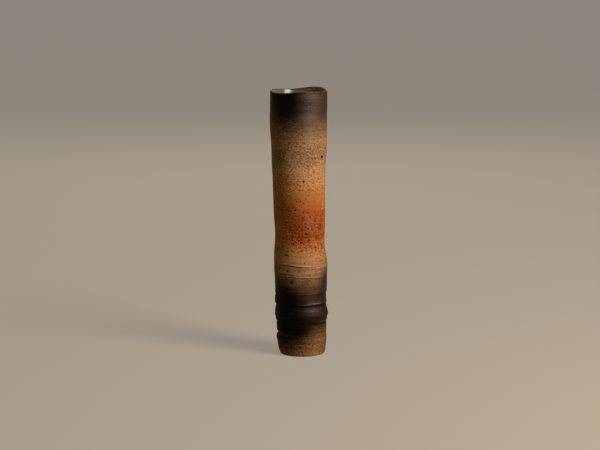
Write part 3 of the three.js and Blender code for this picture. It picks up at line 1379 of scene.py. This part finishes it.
    def speckled(self, here: ClayMap, colour: Value) -> Value:
        """Scatter fine dark specks, densest above the flush and on its left.

        Args:
            here: What varies over the clay.
            colour: The colour.

        Returns:
            The colour with its specks.
        """
        skin, bench = here.skin, here.skin.bench
        dense = self.dense_fade.of(skin.height + self.speck_drift.of(here))
        fine = self.fine.on(skin) * (self.fine_share + dense + self.fine_flushed * here.flush)
        burnt = self.burnt.on(skin) * self.burnt_patch.on(skin, here.cloud)
        for specks in (fine, burnt, self.coarse.on(skin) * self.coarse_share):
            colour = bench.mix(specks, colour, self.speck)
        return colour

    def smoked(self, here: ClayMap) -> Value:
        """Colour the smoke: black, browner at the right and the back, with a painted mauve sheen right of
        the front and a faint painted reflection on the left of the lower rib.

        Args:
            here: What varies over the clay.

        Returns:
            The colour.
        """
        skin, bench = here.skin, here.skin.bench
        uneven, edge = self.smoke_blend.of(here), self.smoke_edge.of(here)
        high = self.smoke_high.of(skin.height)
        share = self.smoke_share + self.smoke_band.of(skin.height) - self.smoke_lost * high
        right, back = self.smoke_right.on(skin, edge), self.smoke_back.on(skin, edge)
        brown = bench.math("MAXIMUM", right * share, back)
        # Painted sheen: the mauve colour laid where the shine falls on the ribs and the collar.
        painted_sheen_on_ribs = self.rib_painted_sheen_fade.of(skin.height) * (1.0 - high) * self.rib_painted_sheen.on(skin)
        veil = (painted_sheen_on_ribs + high * self.collar_painted_sheen.on(skin)) * (1.0 + self.painted_sheen_uneven * uneven)
        # Painted reflection: a faint pale patch on the left of the lower rib.
        veil = veil + self.painted_reflection_patch.on(skin, uneven)
        return bench.mix(veil, bench.mix(brown, self.soot, self.smoke), self.painted_sheen)

    def weathered(self, here: ClayMap, colour: Value) -> Value:
        """Lay soot, pale ridges that are partly worn and partly a painted highlight, painted shade in the
        hollows and grooves, a painted highlight on the rib lip, a painted shade tint on the left side and
        the bare lip over the clay.

        Args:
            here: What varies over the clay.
            colour: The clay.

        Returns:
            The colour.
        """
        bench = here.skin.bench
        # Ridges are paler, partly from wear and partly as a painted highlight.
        ridge_wear_and_highlight = self.ridge_wear_and_highlight_fade.of(here.worked + self.ridge_wear_and_highlight_blend.of(here))
        colour = bench.mix(ridge_wear_and_highlight, colour, self.cream)
        # Painted shade: umber in the hollows under the creases.
        sunk = self.hollow_painted_shade_fade.of(here.worked + self.hollow_painted_shade_grit * here.grit)
        colour = bench.mix(sunk, colour, self.umber)
        colour = bench.mix(here.soot, colour, self.smoked(here))
        # Painted shade: grooves on the ribs are darkened further towards black.
        colour = bench.mix(here.groove * self.groove_painted_shade, colour, self.soot)
        # Painted highlight: the rib lip is paler where the light catches it, right of the front.
        painted_highlight = self.painted_highlight_fade.of(here.worked + self.painted_highlight_blend.of(here)) * here.ribs
        colour = bench.mix(painted_highlight * self.painted_highlight_side.on(here.skin), colour, self.painted_highlight)
        # Painted shade: the left side is tinted darker and more olive.
        painted_shade_factor = bench.mix(self.painted_shade_side.on(here.skin), WHITE, self.painted_shade_tint)
        colour = bench.vector("MULTIPLY", colour, painted_shade_factor)
        return bench.mix(self.bare_fade.of(here.bare + self.bare_grit * here.grit), colour, self.bare)

    def ash_coat(self, here: ClayMap) -> Value:
        """Find where melted ash gives the soot a satin coat: only on the side that faced the fire.

        Args:
            here: What varies over the clay.

        Returns:
            How much of it there is.
        """
        ashed = here.soot * (1.0 - here.groove) * (1.0 - self.bare_ash.of(here.bare))
        level = self.ash_low.of(here.skin.height) + self.ash_high.of(here.skin.height)
        return ashed * self.ash_side.on(here.skin) * level * (1.0 + self.ash_blend.of(here))


@dataclass(frozen=True)
class PouredGlaze:
    """The glossy olive glaze inside: thin and brown by the lip, darker where it runs thick and pools, and
    darker towards the right of the back as painted shade.
    """

    name: str
    form: VaseForm
    olive: Colour = shade(122, 113, 80)
    deep: Colour = shade(66, 62, 38)
    thin: Colour = shade(120, 84, 58)
    gloss: float = 0.22
    ior: float = 1.52
    runs: Grain = Grain((7.0, 7.0, 70.0), 3.0)
    cloud: Grain = Grain((22.0, 22.0, 30.0), 3.0, 9.0)
    ripple: Grain = Grain((1.6, 1.6, 1.6), 1.0, 3.0)
    cloud_weight: float = 0.8
    deep_runs: Fade = Fade(-0.1, 0.3)
    deep_pool: Fade = Fade(40.0, 16.0, 0.7)
    # Painted shade on the inside wall towards the right of the back.
    inner_painted_shade_side: Side = Side(130.0, 0.4, 0.9, 0.85)
    inner_painted_shade_cloud: float = 0.3
    thin_runs: float = 0.8
    thin_fade: Fade = Fade(0.3, 0.9)
    dull_fade: Fade = Fade(-0.1, 0.4, 0.12)
    run_height: float = 0.12
    ripple_height: float = 0.04
    bump: float = 0.6

    def make(self) -> bpy.types.Material:
        """Make the material.

        Returns:
            The material.
        """
        material, bench = new_material(self.name)
        skin = Skin(bench, self.form)
        runs, cloud = self.runs.on(skin), self.cloud.on(skin)
        colour = bench.mix(self.deep_runs.of(runs + self.cloud_weight * cloud), self.olive, self.deep)
        colour = bench.mix(self.deep_pool.of(skin.height), colour, self.deep)
        # Painted shade: the inside wall is deeper olive towards the right of the back.
        colour = bench.mix(self.inner_painted_shade_side.on(skin, self.inner_painted_shade_cloud * cloud), colour, self.deep)
        thin = self.thin_fade.of(bench.mark("bare") + self.thin_runs * runs)
        colour = bench.mix(thin, colour, self.thin)
        bumps = self.run_height * runs + self.ripple_height * self.ripple.on(skin)
        relief = {"Strength": self.bump, "Distance": MM, "Height": bumps}
        normal = bench.node("ShaderNodeBump", None, relief)
        sockets = {
            "Base Color": colour,
            "Roughness": self.gloss + self.dull_fade.of(cloud),
            "Normal": bench.output(normal),
            "IOR": self.ior,
        }
        bench.clad(bench.node("ShaderNodeBsdfPrincipled", None, sockets))
        return material


@dataclass(frozen=True)
class FloorPaint:
    """A plain floor that looks pale and throws little light back."""

    name: str = "pale_floor"
    paint: Colour = shade(168, 149, 124)
    pale: Colour = shade(224, 214, 200)
    veil: float = 0.33

    def make(self) -> bpy.types.Material:
        """Make the material.

        Returns:
            The material.
        """
        material, bench = new_material(self.name)
        paint = bench.node("ShaderNodeBsdfDiffuse", None, {"Color": self.paint})
        pale = bench.node("ShaderNodeEmission", None, {"Color": self.pale, "Strength": 1.0})
        sockets = {0: bench.seen() * self.veil, 1: bench.output(paint), 2: bench.output(pale)}
        bench.clad(bench.node("ShaderNodeMixShader", None, sockets))
        return material


def dress(piece: bpy.types.Object, node: str) -> bpy.types.Object:
    """Let a piece stand for its node in the frame.

    Args:
        piece: The piece.
        node: The node that it replaces.

    Returns:
        The piece.
    """
    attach(piece, BODY)
    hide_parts(node)
    return piece


@dataclass(frozen=True)
class Bed:
    """A bed of slip in a joint, as the frame has it, with how far it drops towards the inside."""

    node: str
    top: float
    bottom: float
    drop: float

    @classmethod
    def in_frame(cls, node: str, first: str) -> "Bed":
        """Measure a bed.

        Args:
            node: The bed's node.
            first: The node of the lowest bed, which lies flat.

        Returns:
            The bed.
        """
        low, high = (corner.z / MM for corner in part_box(node))
        flat_low, flat_high = (corner.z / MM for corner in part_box(first))
        thickness = flat_high - flat_low
        return cls(node, high, high - thickness, high - low - thickness)


@dataclass
class ClayCourse:
    """One course of clay, set on the bed below it and worked up by hand; the last one ends in the lip."""

    node: str
    slot: Slot
    low: Bed
    high: Bed | None = None
    step: float = 0.5
    segments: int = 320
    inner_step: float = 5.0
    lip_rings: int = 10
    bare_lip: Range = (0.2, 0.8)
    outside_share: float = 0.8
    lip_share: float = 0.1
    inside_share: float = 0.2

    def build(self, form: VaseForm, clay: bpy.types.Material) -> bpy.types.Object:
        """Make the course.

        Args:
            form: The vase's surface.
            clay: The finish.

        Returns:
            The piece.
        """
        skin = RingSkin(form, self.segments, Ends.LOOP)
        bottom = self.low.top
        top = self.high.bottom if self.high else form.lip
        rings = round((top - bottom) / self.step) + 1
        skin.add_outside(np.linspace(bottom, top, rings), self.outside_share)
        if not self.high:
            self.round_lip(form, skin)
        inner_top = top - self.high.drop if self.high else top
        inner_bottom = bottom - self.low.drop
        count = max(2, round((inner_top - inner_bottom) / self.inner_step))
        inner = np.linspace(inner_top, inner_bottom, count)
        skin.add(form.bore(inner), inner, self.inside_share)
        return dress(skin.piece(self.node + "_clay", clay), self.node)

    def round_lip(self, form: VaseForm, skin: RingSkin) -> None:
        """Carry the skin over the rounded lip.

        Args:
            form: The vase's surface.
            skin: The skin so far.
        """
        turns = np.linspace(0.0, math.pi, self.lip_rings + 2)[1:-1]
        half = form.lip_wall / 2.0
        edge = form.outside(skin.angles, np.array([[form.lip]]))
        radii = edge - half + half * np.cos(turns)[:, None]
        levels = form.lip + half * np.sin(turns)
        bare = np.broadcast_to(eased(np.sin(turns), *self.bare_lip)[:, None], radii.shape)
        skin.add(radii, levels, self.lip_share, {"bare": bare})


@dataclass
class BaseDisc:
    """The beaten base slab, with a worn lower edge and a flat face to stand on."""

    node: str
    slot: Slot
    high: Bed
    step: float = 0.5
    segments: int = 320
    face_rings: int = 12
    face_span: Range = (0.04, 0.98)
    under_share: float = 0.25
    edge_share: float = 0.55
    over_share: float = 0.2

    def build(self, form: VaseForm, clay: bpy.types.Material) -> bpy.types.Object:
        """Make the slab.

        Args:
            form: The vase's surface.
            clay: The finish.

        Returns:
            The piece.
        """
        skin = RingSkin(form, self.segments, Ends.POLES)
        top = self.high.bottom
        sole, rim = form.outside(skin.angles, np.array([[0.0], [top]]))
        parts = np.linspace(*self.face_span, self.face_rings)[:, None]
        skin.add(sole * parts, np.zeros(self.face_rings), self.under_share)
        skin.add_outside(np.linspace(0.0, top, round(top / self.step) + 1), self.edge_share)
        skin.add(rim * parts[::-1], np.full(self.face_rings, top), self.over_share)
        return dress(skin.piece(self.node + "_clay", clay), self.node)


@dataclass
class SlipBed:
    """The thin bed of slip in a joint, worked along with the clay round it."""

    bed: Bed
    slot: Slot = Slot.SLIP
    rings: int = 4
    segments: int = 320
    outside_share: float = 0.7
    inside_share: float = 0.3

    def build(self, form: VaseForm, slip: bpy.types.Material) -> bpy.types.Object:
        """Make the bed.

        Args:
            form: The vase's surface.
            slip: The finish.

        Returns:
            The piece.
        """
        skin = RingSkin(form, self.segments, Ends.LOOP)
        bed = self.bed
        skin.add_outside(np.linspace(bed.bottom, bed.top, self.rings), self.outside_share, spotted=False)
        inner = np.array([bed.top - bed.drop, bed.bottom - bed.drop])
        skin.add(form.bore(inner), inner, self.inside_share)
        return dress(skin.piece(bed.node + "_bed", slip), bed.node)


@dataclass
class GlazeLiner:
    """The poured glaze inside: a soft roll under the lip, finger rings and a pool on the floor."""

    node: str = "glaze_liner"
    slot: Slot = Slot.GLAZE
    thickness: float = 0.8
    pool: float = 2.5
    corner: float = 6.0
    over_lip: float = 0.9
    thin_edge: float = 0.12
    feather: float = 4.0
    roll: float = 1.3
    roll_depth: float = 8.0
    roll_end: float = 30.0
    brown_edge: float = 1.6
    ring_pitch: float = 11.0
    ring_depth: float = 0.22
    ring_start: float = 25.0
    ring_end: float = 30.0
    step: float = 1.5
    back_step: float = 6.0
    round_rings: int = 8
    segments: int = 192
    under_span: Range = (0.05, 0.97)
    pool_span: Range = (0.95, 0.06)
    under_share: float = 0.05
    back_share: float = 0.1
    front_share: float = 0.7
    corner_share: float = 0.05
    pool_share: float = 0.1

    def build(self, form: VaseForm, glaze: bpy.types.Material) -> bpy.types.Object:
        """Make the liner, from under the pool up the back of the glaze and down its face.

        Args:
            form: The vase's surface.
            glaze: The finish.

        Returns:
            The piece.
        """
        skin = RingSkin(form, self.segments, Ends.POLES)
        bottom, top = form.base_top, form.lip + self.over_lip
        under = np.linspace(*self.under_span, self.round_rings) * form.bore(np.array([bottom]))
        skin.add(under, np.full(under.size, bottom), self.under_share)
        back = np.linspace(bottom, top, round((top - bottom) / self.back_step))
        skin.add(form.bore(back), back, self.back_share)
        floor = bottom + self.pool
        side = floor + self.corner
        front = np.linspace(top, side, round((top - floor) / self.step))
        column = front[:, None]
        wave = 1.0 + np.sin(TURN * column / self.ring_pitch + skin.angles)
        fade = eased(column, top, top - self.ring_start) * eased(column, side, floor + self.ring_end)
        inside = form.bore(column) - self.depth(column, top) - self.ring_depth * wave * fade
        bare = np.broadcast_to(eased(column, top - self.brown_edge, top), wave.shape)
        skin.add(inside, front, self.front_share, {"bare": bare})
        turns = np.linspace(0.0, math.pi / 2.0, self.round_rings)[1:]
        radii = form.bore(np.array([side])) - self.thickness - self.corner * (1.0 - np.cos(turns))
        skin.add(radii, floor + self.corner * (1.0 - np.sin(turns)), self.corner_share)
        inwards = np.linspace(*self.pool_span, self.round_rings) * radii[-1]
        skin.add(inwards, np.full(inwards.size, floor), self.pool_share)
        return dress(skin.piece(self.node + "_glaze", glaze), self.node)

    def depth(self, level: np.ndarray, top: float) -> np.ndarray:
        """Thickness of the glaze on the wall: thin at its upper edge, then a roll, then even.

        Args:
            level: Levels in millimetres.
            top: The level of its upper edge.

        Returns:
            Thicknesses of the same shape.
        """
        even = self.thin_edge + (self.thickness - self.thin_edge) * eased(level, top, top - self.feather)
        rolled = eased(level, top, top - self.roll_depth)
        return even + self.roll * rolled * eased(level, top - self.roll_end, top - self.roll_depth)


@dataclass(frozen=True)
class Lamp:
    """A soft lamp that faces the middle of the vase.

    Its side is in degrees to the right of the front, its rise in degrees above the floor, and its distance
    and size in metres.
    """

    name: str
    side: float
    rise: float
    distance: float
    size: tuple[float, float]
    watts: float
    tint: tuple[float, float, float] = (1.0, 1.0, 1.0)
    shadow: bool = True

    def hang(self, height: float) -> None:
        """Hang the lamp.

        Args:
            height: The height over the middle of the floor that it faces, in metres.
        """
        light = bpy.data.lights.new(self.name, "AREA")
        light.shape = "RECTANGLE"
        light.size, light.size_y = self.size
        light.energy = self.watts
        light.color = self.tint
        light.use_shadow = self.shadow
        turn, up = math.radians(self.side), math.radians(self.rise)
        away = Vector((math.sin(turn) * math.cos(up), -math.cos(turn) * math.cos(up), math.sin(up)))
        made = stand(self.name, light)
        made.location = Vector((0.0, 0.0, height)) + away * self.distance
        made.rotation_mode = "QUATERNION"
        made.rotation_quaternion = (-away).to_track_quat("-Z", "Y")


@dataclass(frozen=True)
class Studio:
    """A pale floor, a broad soft lamp right of the front, a weak fill, a lamp behind, and the camera."""

    eye: tuple[float, float, float] = (-0.0025, -2.863, 0.650)
    aim_height: float = 0.1867
    focal_pixels: float = 2019.0
    picture_width: float = 600.0
    sensor_width: float = 36.0
    floor_radius: float = 30.0
    floor_drop: float = 0.0001
    floor_corners: int = 96
    lamps: tuple[Lamp, ...] = (
        Lamp("key_lamp", 55.0, 32.0, 2.2, (1.0, 0.95), 45.0, tint=(1.0, 0.98, 0.95)),
        Lamp("fill_lamp", -70.0, 40.0, 2.6, (1.6, 1.6), 0.9),
        Lamp("back_lamp", 180.0, 36.0, 2.6, (1.2, 1.6), 15.0, shadow=False),
    )
    sky: Colour = shade(224, 208, 186)
    sky_light: float = 0.1
    sky_seen: float = 0.4

    def build(self) -> None:
        """Set up floor, lamps, world, camera and view."""
        self.floor()
        for lamp in self.lamps:
            lamp.hang(self.aim_height)
        self.world()
        self.camera()
        bpy.context.scene.view_settings.view_transform = "Standard"

    def floor(self) -> None:
        """Lay the floor."""
        turns = TURN * np.arange(self.floor_corners) / self.floor_corners
        drop = np.full(turns.size, -self.floor_drop)
        x, y = self.floor_radius * np.cos(turns), self.floor_radius * np.sin(turns)
        rim = np.stack([x, y, drop], axis=1)
        mesh = bpy.data.meshes.new("floor")
        mesh.from_pydata(rim.tolist(), [], [tuple(range(self.floor_corners))])
        mesh.materials.append(FloorPaint().make())
        made = stand("floor", mesh)

    def world(self) -> None:
        """Fill the room with even light."""
        world = bpy.data.worlds.new("studio")
        world.use_nodes = True
        bench = NodeBench(world.node_tree)
        light = bench.node("ShaderNodeBackground", None, {"Color": self.sky, "Strength": self.sky_light})
        shown = bench.node("ShaderNodeBackground", None, {"Color": self.sky, "Strength": self.sky_seen})
        sockets = {0: bench.seen(), 1: bench.output(light), 2: bench.output(shown)}
        both = bench.node("ShaderNodeMixShader", None, sockets)
        bench.node("ShaderNodeOutputWorld", None, {"Surface": bench.output(both)})
        bpy.context.scene.world = world

    def camera(self) -> None:
        """Stand the camera where the photograph was taken from."""
        lens = bpy.data.cameras.new("camera")
        lens.sensor_width = self.sensor_width
        lens.lens = self.focal_pixels / self.picture_width * self.sensor_width
        made = stand("camera", lens)
        made.location = self.eye
        down = math.atan2(self.eye[2] - self.aim_height, -self.eye[1])
        made.rotation_euler = (math.pi / 2.0 - down, 0.0, 0.0)
        bpy.context.scene.camera = made


OUTLINE: tuple[Point, ...] = (
    (0.0, -5.7), (0.7, -4.9), (2.0, -4.4), (5.0, -3.6), (9.0, -2.8), (13.0, -2.25),
    (16.0, -1.9), (20.0, -1.4), (24.5, -1.2), (28.0, -1.25), (30.4, -1.4), (31.3, -1.5),
    (32.4, -1.35), (36.0, -1.1), (39.5, -1.05), (44.0, -1.05), (46.6, -1.1), (47.3, -1.15),
    (48.3, -0.85), (50.5, -0.3), (52.5, -0.05), (53.8, 0.1), (55.0, 0.55), (56.2, 0.95), (57.4, 1.1),
    (59.0, 1.1), (61.6, 0.95), (63.2, 0.7), (65.0, 0.2), (67.0, -0.35), (69.0, -0.75), (71.0, -0.95),
    (72.0, -0.85), (73.4, -0.65), (77.0, -0.75), (80.0, -0.85), (83.0, -0.78), (86.0, -0.55), (88.3, -0.8),
    (89.0, -0.45), (91.0, -0.1), (94.0, 0.15), (99.0, 0.5), (107.0, 0.7), (114.3, 0.75),
    (118.0, 1.0), (123.0, 1.25), (127.0, 1.2), (131.3, 1.05),
    (136.0, 0.95), (141.0, 0.6), (147.0, 0.1), (154.0, -0.7), (162.0, -1.3), (169.0, -1.5), (180.0, -1.2),
    (199.0, -0.55), (222.0, -0.15), (247.0, 0.25), (270.0, 1.1), (293.0, 2.1), (314.3, 2.8),
    (330.0, 3.25), (350.0, 3.35), (379.0, 3.4),
)

CREASES: tuple[Crease, ...] = (
    Crease(13.3, 0.1, 3.0, 0.35, 1.2, waver=0.6),
    Crease(31.3, 0.3, 2.0, 0.2, 1.6),
    Crease(33.4, 0.5, 3.0, 1.2, 3.0, centre=-88.0, spread=50.0, edge=0.7),
    Crease(47.4, 1.0, 2.4, 0.7, 2.2, edge=0.8),
    Crease(54.6, 0.8, 3.0, 0.7, 2.4, centre=10.0, spread=80.0, edge=0.8),
    Crease(73.0, 0.5, 3.0, 0.4, 1.8, edge=0.8),
    Crease(73.3, 1.9, 1.5, 0.9, 2.6, centre=12.0, spread=64.0, edge=0.8),
    Crease(88.5, 0.9, 2.4, 0.6, 2.2, edge=1.0),
    Crease(114.2, 1.2, 3.2, 0.4, 2.0, tilt=1.7, towards=-80.0, centre=2.0, spread=58.0),
    Crease(118.0, 0.8, 3.0, 0.3, 1.6, tilt=2.4, towards=-95.0, centre=-32.0, spread=36.0),
    Crease(115.0, 0.5, 3.5, 0.3, 2.0, centre=180.0, spread=100.0),
    Crease(120.6, 0.5, 2.4, 0.25, 1.6, tilt=4.2, towards=112.0, centre=52.0, spread=40.0),
    Crease(124.2, 0.8, 2.6, 0.4, 1.8, tilt=3.6, towards=108.0, centre=58.0, spread=42.0),
    Crease(127.6, 0.6, 2.2, 0.3, 1.4, tilt=2.2, towards=110.0, centre=60.0, spread=38.0),
    Crease(135.2, 0.45, 2.4, 0.25, 1.4, tilt=1.4, towards=120.0, centre=52.0, spread=40.0),
    Crease(131.0, 0.8, 3.6, 0.6, 2.2, tilt=2.2, towards=-90.0, centre=-22.0, spread=46.0),
    Crease(130.4, 0.5, 3.0, 0.35, 1.8, centre=34.0, spread=46.0),
    Crease(131.4, 0.5, 3.5, 0.3, 1.8, centre=150.0, spread=80.0),
    Crease(136.4, 0.5, 2.8, 0.25, 1.6, tilt=1.6, towards=-70.0, centre=-20.0, spread=70.0),
    Crease(140.8, 0.42, 2.8, 0.2, 1.6, tilt=1.4, towards=-100.0, centre=-38.0, spread=55.0),
    Crease(139.0, 0.4, 2.6, 0.2, 1.5, tilt=1.4, towards=60.0, centre=110.0, spread=80.0),
    Crease(146.5, 0.32, 3.0, 0.14, 1.6, tilt=1.2, towards=-90.0, centre=-30.0, spread=60.0),
    Crease(152.5, 0.2, 3.0, 0.1, 1.6, tilt=1.0, towards=-90.0, centre=-40.0, spread=45.0),
)

SWELLS: tuple[Mark, ...] = (
    Mark(-90.0, 80.0, 34.0, 7.0, 1.7),
    Mark(-90.0, 67.0, 34.0, 5.0, 0.5),
    Mark(-90.0, 54.0, 34.0, 4.0, 0.5),
    Mark(-90.0, 32.2, 26.0, 2.7, -1.5),
    Mark(-88.0, 24.5, 30.0, 4.5, 0.8),
    Mark(85.0, 58.0, 30.0, 2.6, 0.4),
    Mark(150.0, 79.0, 30.0, 4.5, 0.35),
    Mark(-62.0, 30.0, 24.0, 1.7, 0.4),
    Mark(85.0, 2.0, 30.0, 5.0, 1.1),
    Mark(-85.0, 2.0, 30.0, 5.0, -0.9),
)

PITS: tuple[Mark, ...] = (
    Mark(-26.0, 18.0, 3.2, 0.9, 0.7),
    Mark(-14.5, 19.0, 1.2, 0.9, 0.6),
    Mark(-6.0, 14.0, 3.0, 0.9, 0.7),
    Mark(42.0, 15.4, 3.4, 0.9, 0.6),
    Mark(64.0, 15.7, 2.0, 1.2, 0.7),
    Mark(-6.5, 7.0, 1.2, 0.9, 0.5),
    Mark(4.5, 1.8, 1.8, 1.2, 0.6),
    Mark(118.0, 16.5, 3.5, 1.0, 0.7),
    Mark(160.0, 14.5, 2.6, 0.9, 0.6),
    Mark(-120.0, 15.5, 3.0, 1.0, 0.7),
    Mark(-70.0, 13.8, 2.2, 0.9, 0.6),
)

IRON_SPOTS: tuple[Mark, ...] = (
    Mark(-20.5, 107.6, 2.6, 2.6, 0.25),
    Mark(-29.5, 123.0, 1.8, 1.5, 0.2),
    Mark(-30.0, 147.2, 1.6, 1.2, 0.15),
    Mark(51.5, 147.0, 1.0, 0.9, 0.15),
    Mark(9.0, 137.0, 1.4, 0.9, 0.15),
    Mark(2.5, 166.5, 1.8, 1.6, 0.3),
    Mark(-18.5, 170.0, 1.4, 1.1, 0.2),
    Mark(-15.0, 164.0, 1.3, 1.0, 0.2),
    Mark(13.0, 179.5, 1.4, 1.5, 0.2),
    Mark(21.5, 170.0, 1.2, 1.0, 0.1),
    Mark(-9.0, 213.5, 1.5, 1.4, 0.25),
    Mark(-6.0, 226.5, 1.0, 1.0, 0.15),
    Mark(2.5, 226.0, 0.7, 1.8, 0.1),
    Mark(8.0, 210.0, 1.0, 1.2, 0.15),
    Mark(7.0, 202.0, 0.9, 0.9, 0.1),
    Mark(-23.0, 204.5, 0.9, 0.9, 0.1),
    Mark(9.5, 254.5, 1.3, 1.8, 0.2),
    Mark(57.5, 288.0, 2.3, 2.3, 0.25),
    Mark(-36.0, 288.0, 0.9, 1.0, 0.1),
    Mark(-55.5, 291.5, 1.0, 0.9, 0.1),
    Mark(55.5, 190.0, 1.4, 1.4, 0.1),
    Mark(-61.5, 154.0, 1.0, 2.2, 0.15),
    Mark(105.0, 176.0, 1.6, 1.4, 0.25),
    Mark(128.0, 231.0, 1.2, 1.4, 0.2),
    Mark(152.0, 146.0, 1.9, 1.7, 0.25),
    Mark(171.0, 198.0, 1.1, 1.2, 0.15),
    Mark(-164.0, 262.0, 1.3, 1.5, 0.2),
    Mark(-141.0, 183.0, 1.7, 1.5, 0.25),
    Mark(-118.0, 121.0, 1.4, 1.3, 0.2),
    Mark(-97.0, 217.0, 1.1, 1.0, 0.15),
    Mark(84.0, 268.0, 1.2, 1.3, 0.2),
    Mark(-84.0, 176.0, 1.2, 1.1, 0.15),
)

JOINTS: tuple[Joint, ...] = (
    Joint(0.0, 0.0, 0.0, 0.0),
    Joint(13.3, 0.2, 0.4, -20.0),
    Joint(31.3, -0.5, 0.5, 160.0),
    Joint(47.3, 0.9, 0.4, 0.0),
    Joint(71.3, 1.0, 1.8, 15.0),
    Joint(88.3, 0.6, 1.7, 58.0),
    Joint(114.3, 1.6, 0.9, -60.0),
    Joint(131.3, 0.7, 1.4, -80.0),
    Joint(175.0, 0.0, 0.0, 0.0),
)

COURSES: tuple[tuple[str, str, Slot, float], ...] = (
    ("foot_course", "slip_foot", Slot.TAN, 0.5),
    ("ledge_course", "slip_ledge", Slot.DARK, 0.5),
    ("lower_rib_course", "slip_lower_rib", Slot.DARK, 0.5),
    ("upper_rib_course", "slip_upper_rib", Slot.DARK, 0.5),
    ("band_course", "slip_band", Slot.DARK, 0.5),
    ("fold_course", "slip_fold", Slot.TAN, 0.5),
    ("body_tube", "slip_body", Slot.FLUSHED, 0.8),
    ("collar", "slip_collar", Slot.DARK, 0.8),
)

SLIP_DARKER = 0.25


def main() -> None:
    """Build the vase from the base up, then the studio round it, and report each piece."""
    logging.basicConfig(level=logging.INFO, format="%(message)s")
    form = VaseForm(OUTLINE, CREASES, SWELLS, PITS, IRON_SPOTS, JOINTS)
    clay = FiredClay("fired_clay", form).make()
    slip = FiredClay("fired_slip", form, darker=SLIP_DARKER).make()
    glaze = PouredGlaze("poured_glaze", form).make()
    first = COURSES[0][1]
    beds = [Bed.in_frame(bed, first) for _, bed, _, _ in COURSES]
    pieces = [BaseDisc("base_disc", Slot.TAN, beds[0]).build(form, clay)]
    for (node, _, slot, step), low, high in zip(COURSES, beds, [*beds[1:], None]):
        pieces.append(SlipBed(low).build(form, slip))
        pieces.append(ClayCourse(node, slot, low, high, step).build(form, clay))
    pieces.append(GlazeLiner().build(form, glaze))
    for piece in pieces:
        log.info("%s: %d faces, %s", piece.name, len(piece.data.polygons), piece.active_material.name)
    Studio().build()


if __name__ == "__main__":
    main()
